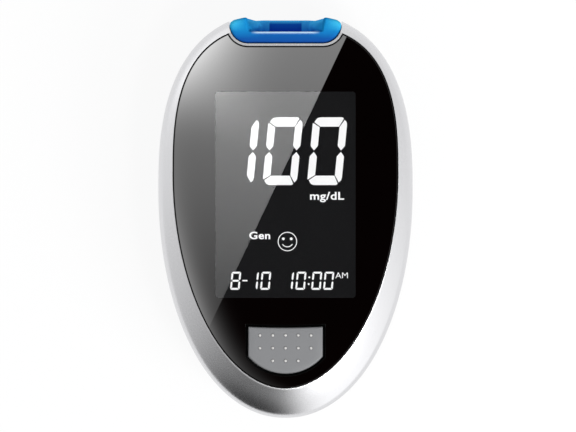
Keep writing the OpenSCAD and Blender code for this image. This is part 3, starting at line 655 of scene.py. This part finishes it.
# %% Lens and window
CHAMFER = 0.12
OPENING_SHARE = 0.4                      # the button opening's chamfer, as a share of it


def lens_loops(inset):
    """The lens's outline and its two openings, which widen as the outline is drawn in."""
    grow = (inset - LENS_GAP) * OPENING_SHARE
    return [lens_outline(inset), button_line(-BUTTON_GAP - grow)[::-1], WINDOW_LINE[::-1]]


BLACK_LENS = Finish("lens_print", Roughness=0.0, IOR=1.5)
BLACK_LENS.wear(Base_Color=BLACK_LENS.blend(BLACK_LENS.noise(14), (0.0010, 0.0004, 0.0004, 1),
                                            (0.0016, 0.0006, 0.0006, 1)))
CLEAR = Finish("clear_acrylic", Transmission_Weight=1.0, Roughness=0.0, IOR=1.40)
CLEAR.wear(Base_Color=CLEAR.blend(CLEAR.noise(20), (0.97, 0.975, 0.98, 1), grey(1)))

levels = [(LENS_GAP, LENS_Z), (LENS_GAP, LENS_TOP - CHAMFER),
          (LENS_GAP + CHAMFER / 3, LENS_TOP - CHAMFER / 4), (LENS_GAP + CHAMFER, LENS_TOP)]
points, faces = sheet(lens_loops, levels)
piece("lens_sheet", points, faces, BLACK_LENS, "lens_black", replaces=("front_lens",), crease=15)
points, faces = prism(WINDOW_LINE, LENS_Z, LENS_TOP)
piece("lens_window", points, faces, CLEAR, "display_glass", replaces=("front_lens",))

# %% [markdown]
# A black foam seal fills the thin gap round the lens: the black bedding a lens sits in, which
# also stands for the shade in that gap. A dark sheet of the same covers the floor of the gap
# round the button, put there for the shade that falls in it, so both read as dark lines. A band
# is two outlines at two heights.


# %% Seals in the gaps
def band(a, b, z0, z1, closed=True):
    """Band between two lines of equal length and two heights."""
    return tube([at(a, z0), at(a, z1), at(b, z1), at(b, z0)], closed)


SEAL_AND_SHADE = Finish("seal_foam_and_shade", Roughness=0.9, Specular_IOR_Level=0.1)
pores = SEAL_AND_SHADE.noise(0.15, 3.0)
SEAL_AND_SHADE.wear(Base_Color=SEAL_AND_SHADE.blend(pores, grey(0.004), grey(0.010)), Normal=SEAL_AND_SHADE.bump(pores, 0.02))
pocket = lens_outline(0.03)
points, faces = together([
    # The lens's seal: black bedding, which also stands for the shade in its gap
    band(pocket, lens_outline(LENS_GAP + 0.5), WEB_TOP + 0.02, LENS_Z - 0.02),
    band(pocket, lens_outline(LENS_GAP - 0.01), LENS_Z - 0.05, LENS_TOP - 0.35),
    # A dark sheet under the gap round the button, in place of the shade that falls there
    band(button_line(-1.2), button_line(-0.12), WEB_TOP + 0.02, LENS_Z - 0.08)])
piece("gap_seals_and_shade", points, faces, SEAL_AND_SHADE, "foam_black")

# %% [markdown]
# The photograph shows a soft light caught in the lens: everything to the left of one sharp
# slanting edge is grey, and it glows along the left rim and most at the upper left. That is
# a reflection, so it is not painted on the lens. A card hangs over the meter and carries the
# light's shape, worked out from where its reflection falls on the lens. Only rays that left
# a perfect mirror see it, so the paint, the port and the button don't.

# %% Card that the lens reflects
CARD_UP = 0.18                           # above the lens
GROW = 1 + CARD_UP / (CAMERA_Z - LENS_TOP * MM)
MIRROR = 0.04                            # share of light that acrylic reflects straight up
EDGE_X, EDGE_Y, EDGE_LEAN, EDGE_SOFT = 14.5, 43.1, 0.4735, 0.12
FILL, FILL_RISE = 0.0965, 0.0025         # light left of the edge, and what a millimetre adds
SIDE, SIDE_Y, SIDE_UP, SIDE_DOWN = 0.19, -19.0, 24.0, 15.0
SPOT, SPOT_TURN, SPOT_SPREAD, SPOT_IN = 0.55, 125, 19.7, 5.2
card = plane("card", (*AIM, LENS_TOP * MM + CARD_UP), 0.055, 0.075)
light = Finish("card_light")
cx, cy = ((light.along(k) - AIM[k] / MM) / GROW + AIM[k] / MM for k in (0, 1))

# The slanting edge is a line through (EDGE_X, EDGE_Y), and everything left of it is lit
lit = (EDGE_X + (cy - EDGE_Y) * EDGE_LEAN - cx).fade(-EDGE_SOFT / 2, EDGE_SOFT / 2)

# How far a point lies inside the lens's egg, and how far from its left rim
ahead = cy > LENS_Y
reach = ahead * (LENS_NOSE - LENS_TAIL) + LENS_TAIL
p = ahead * (LENS_NOSE_P - LENS_TAIL_P) + LENS_TAIL_P
far = (cy - LENS_Y).maths("ABSOLUTE") / reach
inward = (1 - ((cx.maths("ABSOLUTE") / LENS_HALF_W) ** p + far ** p) ** (1 / p)) * LENS_HALF_W
half = LENS_HALF_W * (1 - far ** p).maths("MAXIMUM", 0.0) ** (1 / p)
u = (cx + half).maths("MAXIMUM", 0.0)

# A glow along the left rim, strongest at SIDE_Y, and a spot in the direction SPOT_TURN
height = (cy - SIDE_Y) / (SIDE_DOWN + (cy > SIDE_Y) * (SIDE_UP - SIDE_DOWN))
side = height.bell() * (u * -0.40 - u * u * 0.03).maths("EXPONENT") * SIDE
around = ((cy - LENS_Y).maths("ARCTAN2", cx) * (180 / math.pi) - SPOT_TURN) / SPOT_SPREAD
spot = (inward / -SPOT_IN).maths("EXPONENT") * around.bell() * SPOT
bright = (cy * FILL_RISE + FILL + spot).maths("MAXIMUM", 0.0) * lit + side
shine = light.node("Emission", sockets={"Strength": bright / MIRROR})
mirrored = light.rays("Singular") * (inward > 0.0)
shown = light.node("MixShader", sockets={0: mirrored, 1: light.node("BsdfTransparent"), 2: shine})
light.plug(light.tree.nodes["Material Output"].inputs["Surface"], shown)
card.data.materials.append(light.material)
for kind in ("camera", "diffuse", "volume_scatter", "shadow"):
    setattr(card, "visible_" + kind, False)
card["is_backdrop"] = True
print("card at", round(card.data.vertices[0].co.z, 3), "m")

# %% [markdown]
# The display is a dark negative panel with white figures, as a backlit liquid crystal shows
# them. The panel gives off a trace of light, because a dark cell never shuts quite tight. It
# has no gloss of its own, which an image could fake: the window over it does that.

# %% Display panel
GLASS_TOP = 21.2
FILM_T = 0.12
FILM_OUT = 1.2                           # how far the film reaches past the window
PANEL = Finish("display_film", Roughness=0.6, Specular_IOR_Level=0.0, Emission_Strength=1.0)
fine = PANEL.noise(0.5)
PANEL.wear(Base_Color=PANEL.blend(fine, (0.0020, 0.0020, 0.0022, 1), (0.0032, 0.0032, 0.0034, 1)),
           Emission_Color=PANEL.blend(fine, (0.0088, 0.0088, 0.0094, 1),
                                      (0.0108, 0.0108, 0.0114, 1)))
GLOWING = Finish("display_figures", Roughness=0.5, Emission_Strength=0.96)
fine = GLOWING.noise(0.4)
GLOWING.wear(Base_Color=GLOWING.blend(fine, grey(0.10), grey(0.12)),
             Emission_Color=GLOWING.blend(fine, grey(0.97), grey(1)))
points, faces = prism(rounded_box(-WINDOW_X - FILM_OUT, WINDOW_Y0 - FILM_OUT,
                                  WINDOW_X + FILM_OUT, WINDOW_Y1 + FILM_OUT, 0.6),
                      GLASS_TOP, GLASS_TOP + FILM_T, bevel=0.04)
piece("display_film", points, faces, PANEL, "display_glass")

# %% [markdown]
# Each figure is built from seven bars, which on the real panel are electrodes etched in the
# glass. A font would have other corners, so a bar is a polygon whose ends are mitred to
# leave a thin gap between neighbours, with its corners rounded by short curves. The whole
# figure leans 5.5 degrees. The bars are thin solids on the panel, and they glow.

# %% Seven-bar figures
def eased(outline, r):
    """The outline with each corner replaced by a short curve that starts r before it."""
    p = np.asarray(outline, float)
    out = []
    for before, here, after, r in zip(np.roll(p, 1, 0), p, np.roll(p, -1, 0), np.maximum(r, 0.01)):
        a, b = before - here, after - here
        la, lb = np.linalg.norm(a), np.linalg.norm(b)
        start, end = here + a / la * min(r, 0.42 * la), here + b / lb * min(r, 0.42 * lb)
        for u in (0, 0.33, 0.67, 1):
            out.append(start * (1 - u) ** 2 + here * 2 * u * (1 - u) + end * u * u)
    return np.array(out)


BARS = {"0": "abcdef", "1": "bc", "8": "abcdefg"}


def figure(sign, x0, y0, w, h, tx, ty, gap, lean=5.5):
    """Outlines of a figure's bars in a box w by h at (x0, y0); tx and ty are the bars' widths."""
    g, m, k = gap / 2, h / 2, tx * 0.6
    foot = m + 1.7 * g                   # of the upright bars above the middle
    # Each corner of a bar has its own roundness. The mitres are flatter on the left
    top = [((0.20 * tx, h - 0.52 * ty), 0.1), ((0.62 * tx, h), 0.5), ((w - 0.62 * tx, h), 0.3),
           ((w - 0.52 * tx, h - 0.16 * ty), 0.1), ((w - tx - g, h - ty), 0.0),
           ((tx + 1.3 * g, h - ty), 0.0)]
    left = [((0, foot + k), 0.15), ((0, h - 0.62 * ty), 0.1), ((0.10 * tx, h - 0.62 * ty), 0.05),
            ((tx, h - ty - 1.3 * g), 0.0), ((tx, foot + k), 0.15), ((0.52 * tx, foot), 0.02)]
    right = [((w - tx, h - ty - g), 0.1), ((w - 0.38 * tx, h - 0.28 * ty), 0.02),
             ((w, h - 0.55 * ty), 0.6), ((w, foot + k), 0.15), ((w - 0.48 * tx, foot), 0.02),
             ((w - tx, foot + k), 0.15)]
    middle = [((tx / 2 + g, m), 0.02), ((tx + g, m - ty / 2), 0.05),
              ((w - tx - g, m - ty / 2), 0.05), ((w - tx / 2 - g, m), 0.02),
              ((w - tx - g, m + ty / 2), 0.05), ((tx + g, m + ty / 2), 0.05)]
    bars = {"a": top, "f": left, "b": right, "g": middle}
    for bar, above in (("d", top), ("e", left), ("c", right)):
        bars[bar] = [((x, h - y), r) for (x, y), r in above]
    lean = math.tan(math.radians(lean))
    for bar in BARS[sign]:
        corners, soft = zip(*bars[bar])
        p = eased(corners, np.array(soft) * tx)
        yield np.column_stack([x0 + p[:, 0] + p[:, 1] * lean, y0 + p[:, 1]])


def disc(x, y, r, steps=24):
    """Outline of a circle."""
    a = np.linspace(0, 2 * np.pi, steps, endpoint=False)
    return np.column_stack([x + r * np.cos(a), y + r * np.sin(a)])


FIGURE_Z = (GLASS_TOP + FILM_T, GLASS_TOP + FILM_T + 0.05)
LARGE = (8.25, 16.25, 1.75, 2.25, 0.22)  # width, height, widths of the bars and the gap
SMALL = (2.30, 4.33, 0.44, 0.46, 0.16)
READING_Y, DATE_Y = 7.84, -17.27
outlines = []
for sign, x0 in zip("100", (-16.0, -5.57, 5.11)):
    outlines += figure(sign, x0, READING_Y, *LARGE)
for sign, x0 in zip("8101000", (-13.32, -9.06, -6.12, -0.64, 2.33, 6.12, 9.0)):
    outlines += figure(sign, x0, DATE_Y, *SMALL)
dash = rounded_box(-10.35, -15.25, -9.10, -14.90, 0.16, 4)
outlines += [dash, disc(5.70, -14.30, 0.23), disc(5.56, -15.90, 0.23)]
points, faces = together([prism(outline, *FIGURE_Z) for outline in outlines])
piece("display_figures", points, faces, GLOWING, "lamp_white")

# %% [markdown]
# A line face marks a reading in range. Its ring and mouth are flat bands carried along a
# path, its eyes are discs. The lettering that any such meter shows, a unit, a meal flag and
# the half of the day, comes from Blender's own font: a text curve is turned into a mesh, and
# its points are scaled into the box where the words stand.


# %% Face mark and words
def ribbon(path, width, closed=False):
    """Flat band along a path of points: its two edges lie half a width to each side."""
    ahead = np.roll(path, -1, 0) - np.roll(path, 1, 0) if closed else np.gradient(path, axis=0)
    side = np.column_stack([-ahead[:, 1], ahead[:, 0]])
    side *= width / 2 / np.linalg.norm(side, axis=1, keepdims=True)
    return band(path + side, path - side, *FIGURE_Z, closed)


FACE_X, FACE_Y, FACE_R, MOUTH_R = 0.46, -5.70, 2.22, 1.42
a = np.radians(np.linspace(213, 327, 24))
mouth = np.column_stack([FACE_X + MOUTH_R * np.cos(a), FACE_Y + 0.15 + MOUTH_R * np.sin(a)])
parts = [ribbon(disc(FACE_X, FACE_Y, FACE_R, 72), 0.19, closed=True), ribbon(mouth, 0.21)]
parts += [prism(disc(FACE_X + dx, FACE_Y + 0.65, 0.34), *FIGURE_Z) for dx in (-0.98, 0.92)]
points, faces = together(parts)
piece("display_face_mark", points, faces, GLOWING, "lamp_white")


def settled(data, modifiers=()):
    """The mesh that Blender makes of a text curve, or of a mesh under modifiers."""
    work = bpy.data.objects.new("work", data)
    bpy.context.scene.collection.objects.link(work)
    for kind, settings in modifiers:
        added = work.modifiers.new(kind, kind)
        for key, value in settings.items():
            setattr(added, key, value)
    bpy.context.view_layer.update()
    depsgraph = bpy.context.evaluated_depsgraph_get()
    mesh = bpy.data.meshes.new_from_object(work.evaluated_get(depsgraph))
    bpy.data.objects.remove(work)
    return mesh


def words(name, text, x0, x1, y0, y1, bold):
    """Plain lettering scaled into a box, as a thin solid on the panel."""
    curve = bpy.data.curves.new(name, "FONT")
    curve.body, curve.extrude, curve.offset, curve.resolution_u = text, 0.05, bold, 6
    curve.space_character = 1 + bold * 3
    mesh = settled(curve)
    co = np.empty(len(mesh.vertices) * 3)
    mesh.vertices.foreach_get("co", co)
    co = co.reshape(-1, 3)
    low, high = co.min(0), co.max(0)
    to_low, to_high = np.array([x0, y0, FIGURE_Z[0]]), np.array([x1, y1, FIGURE_Z[1]])
    co = (to_low + (co - low) / (high - low) * (to_high - to_low)) * MM
    mesh.vertices.foreach_set("co", co.ravel())
    hang(name, mesh, GLOWING, "lamp_white", weld=0.001)


words("unit_words", "mg/dL", 5.88, 14.05, 3.72, 6.22, 0.022)
words("meal_flag", "Gen", -8.69, -3.66, -5.15, -3.32, 0.026)
words("day_half", "AM", 11.95, 14.95, -14.50, -13.12, -0.004)

# %% [markdown]
# The button is satin grey plastic. Its top edge is a small round that catches a thin line of
# light. Rings of its outline shrink towards the middle, which closes the top, and it sinks
# into the lens opening with a flange that holds it in.


# %% Button
BUTTON_TOP = 25.75
EDGE_R = 0.45
FLANGE, FLANGE_Z = 0.9, (20.9, 21.7)
SATIN = Finish("button_plastic")
grain = SATIN.noise(0.10, 3.0, 0.6)
SATIN.wear(Base_Color=SATIN.blend(SATIN.noise(5) * 0.5 + grain * 0.5, (0.172, 0.174, 0.180, 1),
                                  (0.200, 0.202, 0.207, 1)),
           Roughness=0.36 + grain * 0.14, Normal=SATIN.bump(grain, 0.006))


def capped(rings, low, high):
    """Rings joined upwards, closed by a fan of triangles to a point at either end."""
    n, end = len(rings[0]), len(rings) * len(rings[0])
    faces = quads(len(rings), n)
    faces += [[(k + 1) % n, k, end] for k in range(n)]
    faces += [[end - n + k, end - n + (k + 1) % n, end + 1] for k in range(n)]
    return np.concatenate([*rings, [low, high]]), faces


def shrunk(ring, share):
    """The ring drawn in towards the button's middle, at its own height."""
    return ring * [share, share, 1] + middle * (1 - share)


middle = np.array([0, BUTTON_Y1 - BUTTON_L / 2, 0])
levels = [(-FLANGE, FLANGE_Z[0]), (-FLANGE, FLANGE_Z[1]), (0.0, FLANGE_Z[1] + 0.02)]
levels += [(EDGE_R * (1 - math.cos(a)), BUTTON_TOP - EDGE_R + EDGE_R * math.sin(a))
           for a in np.radians(np.linspace(0, 90, 7))]
rings = [at(button_line(inset), z) for inset, z in levels]
rings = ([shrunk(rings[0], u) for u in (0.3, 0.75)] + rings
         + [shrunk(rings[-1], u) for u in (0.85, 0.6, 0.35, 0.12)])
points, faces = capped(rings, middle + [0, 0, FLANGE_Z[0]], middle + [0, 0, BUTTON_TOP])
piece("button_cap", points, faces, SATIN, "button_grey", "main_button", ("main_button",), crease=40)

# %% [markdown]
# The 13 grip bumps are caps of a sphere that stand on the button. They are smoother than the
# face, and their colour carries painted light: a painted highlight makes their tops much
# lighter than the face, and painted shade darkens their feet.


# %% Grip bumps
BUMP_D, BUMP_H, BUMP_PITCH = 0.86, 0.25, 3.05
BUMP_R = (BUMP_D ** 2 / 4 + BUMP_H ** 2) / (2 * BUMP_H)
BUMP_A = math.asin(BUMP_D / 2 / BUMP_R)  # from the pole to the foot
FIRST_Y = BUTTON_Y1 - BUTTON_L / 2 + BUMP_PITCH + 0.5


def bump_at(x, y):
    """Cap of a sphere: rings from its foot, sunk a little into the button, to its pole."""
    z = BUTTON_TOP + BUMP_H - BUMP_R
    rings = [at(disc(x, y, BUMP_R * math.sin(a)), z + BUMP_R * math.cos(a))
             for a in np.linspace(BUMP_A * 1.25, BUMP_A * 0.14, 7)]
    return capped(rings, (x, y, rings[0][0, 2]), (x, y, z + BUMP_R))


points, faces = together([bump_at((k - (count - 1) / 2) * BUMP_PITCH, FIRST_Y - row * BUMP_PITCH)
                          for row, count in enumerate((5, 5, 3)) for k in range(count)])
POLISHED = Finish("bump_plastic", Specular_IOR_Level=0.8)
# Painted highlight on the bump tops and painted shade at their feet, by height
painted_light_by_height = POLISHED.along(2).fade(BUTTON_TOP + 0.06, BUTTON_TOP + 0.19)
bump_mottle = POLISHED.noise(0.3)
POLISHED.wear(Base_Color=POLISHED.blend(painted_light_by_height * (0.8 + bump_mottle * 0.2), (0.055, 0.055, 0.06, 1),
                                        (0.60, 0.59, 0.57, 1)),
              Roughness=0.28 + bump_mottle * 0.08)
piece("button_bumps", points, faces, POLISHED, "button_grey", "main_button", ("main_button",),
      crease=60)

# %% [markdown]
# The strip port is clear blue plastic, moulded with soft edges. Real clear plastic would need
# many bounces of light, so it is drawn opaque and without a mirror of its own, and its colour
# carries painted light and shade. Painted shade makes it deep blue towards the near edge of the
# lip and in the strip guide. Painted light turns it cyan out on the thin wings, where light
# shines through, and lightens the ledge and cheeks down in the mouth, where they lie in shade,
# so the colour follows the place across the port. A painted highlight, a pale line, runs along
# the lip's edge.

# %% Port plastic
PORT = Finish("port_plastic", Specular_IOR_Level=0.0, IOR=1.5)
# Millimetres from the port's middle, up the page, and above the table
px, py, pz = PORT.along(0).maths("ABSOLUTE"), PORT.along(1), PORT.along(2)
# Painted shade: the lip's band darkens towards its near edge
lip_band_shaded = PORT.blend(py.fade(41.9, 44.2), srgb(22, 72, 148), srgb(22, 98, 172))
# Painted light: the thin wings and their tips turn cyan
wing = px.fade(5.2, 9.2) * py.fade(42.9, 45.5)
tip = px.fade(9.6, 12.6) * py.fade(44.6, 46.6)
raised = PORT.blend(tip, PORT.blend(wing, lip_band_shaded, srgb(26, 136, 198)), srgb(64, 188, 230))
# Painted light: the ledge and cheeks in the mouth are lighter than their shade would leave them
ledge_painted_light = PORT.blend(py.fade(44.7, 47.2), srgb(34, 132, 222), srgb(66, 182, 244))
# Painted shade: the strip guide is darker
guide_shaded = PORT.blend(py.fade(44.8, 46.8), srgb(14, 62, 180), srgb(20, 98, 196))
ledge_painted_light = PORT.blend(px.fade(4.0, 3.7) * py.fade(47.0, 46.5), ledge_painted_light, guide_shaded)
colour = PORT.blend(pz.fade(21.2, 24.6), ledge_painted_light, raised)
# Painted highlight: a pale line along the lip's edge
lip_painted_highlight = ((py - 44.42) / 0.27).bell() * pz.fade(21.5, 23.0) * px.fade(8.3, 6.6)
colour = PORT.blend(lip_painted_highlight * (0.75 + PORT.noise(1.6) * 0.25), colour, srgb(206, 234, 252))
speck = PORT.noise(0.25, 3.0)
PORT.wear(Base_Color=PORT.blend(speck * 0.08, colour, srgb(0, 60, 160)),
          Roughness=0.26 + speck * 0.08, Normal=PORT.bump(PORT.noise(1.2), 0.01))

print("port plastic made")

# %% [markdown]
# The port's solid is the part's own, remeshed into small cubes and then smoothed, which
# rounds every edge by a few tenths of a millimetre. Two domes on each side are joined in
# first, so that the wings run down into the mouth as soft cheeks.

# %% Strip port
CUBE, ROUNDS = 0.14, 15
domes = [((side * 7.75, 45.35, 18.6), (2.35, 1.75, 4.4), side * -24) for side in (-1, 1)]
domes += [((side * 9.7, 45.15, 19.6), (3.2, 2.35, 5.3), 0) for side in (-1, 1)]
solid = bmesh.new()
solid.from_mesh(frame["nodes"]["strip_port"].data)
for centre, radii, lean in domes:
    shape = (Matrix.Translation([v * MM for v in centre])
             @ Matrix.Rotation(math.radians(lean), 4, "Z")
             @ Matrix.Diagonal([v * MM for v in radii] + [1]))
    bmesh.ops.create_uvsphere(solid, u_segments=32, v_segments=20, radius=1, matrix=shape)
mesh = bpy.data.meshes.new("work")
solid.to_mesh(mesh)
solid.free()
mesh = settled(mesh, [("REMESH", {"mode": "VOXEL", "voxel_size": CUBE * MM}),
                      ("SMOOTH", {"factor": 0.5, "iterations": ROUNDS})])
hang("strip_port_body", mesh, PORT, "port_blue", replaces=("strip_port",), crease=70)

# %% [markdown]
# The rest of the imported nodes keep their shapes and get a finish. Two recipes make most of
# them: moulded plastic or rubber, whose mould was spark-eroded to a fine grain, and bare
# metal, with scratches along the way that it was rolled or drawn. Every one drifts a little
# in colour, since a perfectly even surface looks like a drawing.


# %% Moulded and metal finishes
def moulded(name, colour, rough, spread=0.05, grain=0.12, depth=0.004):
    """Plastic or rubber: a colour that drifts a little, and a fine grain in gloss and surface."""
    made = Finish(name)
    fine, cloud = made.noise(grain, 3.0, 0.6), made.noise(max(grain * 30, 3))
    return made.wear(Base_Color=made.blend(fine * 0.5 + cloud * 0.5, tint(colour, 1 - spread),
                                           tint(colour, 1 + spread)),
                     Roughness=rough + (fine - 0.5) * 0.14, Normal=made.bump(fine, depth))


def metal(name, colour, rough, stretch):
    """Bare metal with scratches that run along the axes whose stretch is small."""
    made = Finish(name, Metallic=1.0)
    grid = made.node("Mapping", {}, {"Vector": made.place(), "Scale": stretch})
    lines = made.node("TexNoise", sockets={"Vector": grid, "Scale": 900.0, "Detail": 3.0})
    return made.wear(Base_Color=made.blend(lines, tint(colour, 0.86), tint(colour, 1.04)),
                     Roughness=rough + (lines - 0.5) * 0.2, Normal=made.bump(lines, 0.003))


print("recipes for plastics and metals ready")

# %% [markdown]
# A battery cell wears a shrunk plastic sleeve: dark, with a pale band and a thin ring line at
# its positive end. The two cells lie head to tail, so the place along a cell is measured the
# other way for the one at the left. No wrap of a real maker is drawn on it.

# %% Cell sleeve
CELL_Y = 1.8                             # middle of both cells
PALE = (0.42, 0.43, 0.44, 1)
CELL = Finish("cell_sleeve")
along_cell = (CELL.along(1) - CELL_Y) * ((CELL.along(0) > 0.0) * 2 - 1)
pale_band = along_cell.fade(13.5, 13.6)
ring_line = along_cell.fade(12.6, 12.7) * along_cell.fade(13.1, 13.0)
sleeve = CELL.blend(ring_line, CELL.blend(pale_band, (0.030, 0.045, 0.065, 1), PALE), PALE)
CELL.wear(Base_Color=CELL.blend(CELL.noise(0.4) * 0.2, sleeve, (0.10, 0.11, 0.12, 1)),
          Roughness=0.22 + CELL.noise(3) * 0.12, Metallic=pale_band * 0.4)

print("cell sleeve made")

# %% [markdown]
# Inside, the board is green solder mask over copper tracks, which stand a few hundredths of
# a millimetre proud: a brick pattern stands for the tracks. The elastomer strips that join
# board and display are layers of conducting and insulating rubber, and the display's glass
# is nearly black.

# %% Board, rubber bands and glass
BOARD = Finish("solder_mask")
grid = BOARD.node("TexBrick", {"offset": 0.37},
                  {"Vector": BOARD.place(), "Scale": 260.0, "Color1": grey(1), "Color2": grey(0),
                   "Mortar": grey(0.5), "Mortar Size": 0.05, "Brick Width": 0.9,
                   "Row Height": 0.28})
track = BOARD.node("RGBToBW", sockets={0: grid})
BOARD.wear(Base_Color=BOARD.blend(track * 0.5, (0.010, 0.105, 0.042, 1), (0.018, 0.19, 0.075, 1)),
           Roughness=0.28 + BOARD.noise(0.3) * 0.15, Normal=BOARD.bump(track, 0.015))
RUBBER_BANDS = Finish("banded_rubber", Roughness=0.7)
stripe = RUBBER_BANDS.maths("SINE", RUBBER_BANDS.along(0) * 40.0) > 0.0
RUBBER_BANDS.wear(Base_Color=RUBBER_BANDS.blend(stripe, (0.35, 0.18, 0.20, 1),
                                                (0.04, 0.03, 0.03, 1)))
GLASS = Finish("cell_glass", IOR=1.52)
GLASS.wear(Base_Color=GLASS.blend(GLASS.noise(6), (0.020, 0.021, 0.022, 1),
                                  (0.026, 0.027, 0.029, 1)),
           Roughness=0.05 + GLASS.noise(4) * 0.03)

print("board, rubber bands and glass made")

# %% [markdown]
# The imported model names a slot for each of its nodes. A table gives each slot its finish, and
# the nodes' meshes take it as their only material, with their shapes left alone.

# %% Table of finishes
FINISHES = {
    "silver_paint": SILVER, "lens_black": BLACK_LENS, "port_blue": PORT, "button_grey": SATIN,
    "cell_jacket": CELL, "board_green": BOARD, "elastomer": RUBBER_BANDS, "display_glass": GLASS,
    "rear_shell": moulded("rear_plastic", (0.45, 0.46, 0.48), 0.52, 0.03, 0.35, 0.008),
    "adhesive_black": moulded("adhesive_film", (0.010, 0.010, 0.010), 0.75, grain=0.3, depth=0.01),
    "foam_black": moulded("gasket_foam", (0.022, 0.022, 0.022), 0.9, 0.2, 0.25, 0.05),
    "button_dark": moulded("dark_key_plastic", (0.045, 0.045, 0.05), 0.4),
    "switch_cream": moulded("plunger_plastic", (0.60, 0.56, 0.44), 0.45),
    "switch_black": moulded("switch_plastic", (0.020, 0.020, 0.021), 0.5),
    "guide_clear": moulded("light_guide", (0.74, 0.77, 0.80), 0.3),
    "lamp_white": moulded("lamp_body", (0.80, 0.76, 0.55), 0.4),
    "frame_white": moulded("frame_plastic", (0.70, 0.70, 0.66), 0.5),
    "chip_black": moulded("chip_resin", (0.016, 0.016, 0.018), 0.55, 0.15),
    "connector_cream": moulded("connector_plastic", (0.62, 0.58, 0.46), 0.45),
    "jack_black": moulded("jack_plastic", (0.012, 0.012, 0.013), 0.25, depth=0.002),
    "contact_nickel": metal("nickel_plate", (0.62, 0.60, 0.56), 0.3, (1, 6, 1)),
    "contact_gold": metal("gold_plate", (0.83, 0.60, 0.26), 0.25, (8, 1, 1)),
    "can_steel": metal("drawn_can", (0.60, 0.59, 0.57), 0.28, (1, 1, 1)),
    "screw_steel": metal("zinc_plate", (0.50, 0.50, 0.52), 0.34, (1, 1, 1)),
}
slots = {part["node"]: part["material_slot"] for part in frame["record"]["subparts"]}
for node, slot in slots.items():
    mesh = frame["nodes"][node].data
    mesh.materials.clear()
    mesh.materials.append(FINISHES[slot].material)
print("finishes on", len(slots), "packed nodes")

# %% [markdown]
# Some imported nodes show from outside or with the battery cover open. A moulded or stamped
# piece has no knife edges, so a copy stands for each of them: its seams are welded and its
# smooth faces are shaded as one, and the set button, the data jack and the screws get a fine
# bevel where their edges are sharp.

# %% Copies of the imported nodes that show
WELD = 0.004
SHARP = 32                               # degrees past which an edge is bevelled


def dressed(node, body="meter", bevel=0.0):
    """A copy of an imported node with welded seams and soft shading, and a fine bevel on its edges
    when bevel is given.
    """
    mesh = frame["nodes"][node].data.copy()
    outward(mesh, WELD)
    cut = ("BEVEL", {"width": bevel * MM, "segments": 2, "limit_method": "ANGLE",
                     "angle_limit": math.radians(SHARP), "use_clamp_overlap": True})
    mesh = settled(mesh, [cut] if bevel else [])
    hang(node + "_shown", mesh, FINISHES[slots[node]], slots[node], body, (node,), crease=40)


dressed("rear_case")
dressed("battery_cover", "battery_cover")
dressed("set_button", "set_button", 0.1)
dressed("data_jack", bevel=0.08)
for node in ("battery_left", "battery_right", "battery_plate", "battery_spring", "battery_link"):
    dressed(node)
dressed("case_screws", bevel=0.04)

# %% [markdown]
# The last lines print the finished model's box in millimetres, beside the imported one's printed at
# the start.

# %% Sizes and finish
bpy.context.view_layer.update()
print("visual box in mm:", in_mm(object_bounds()))
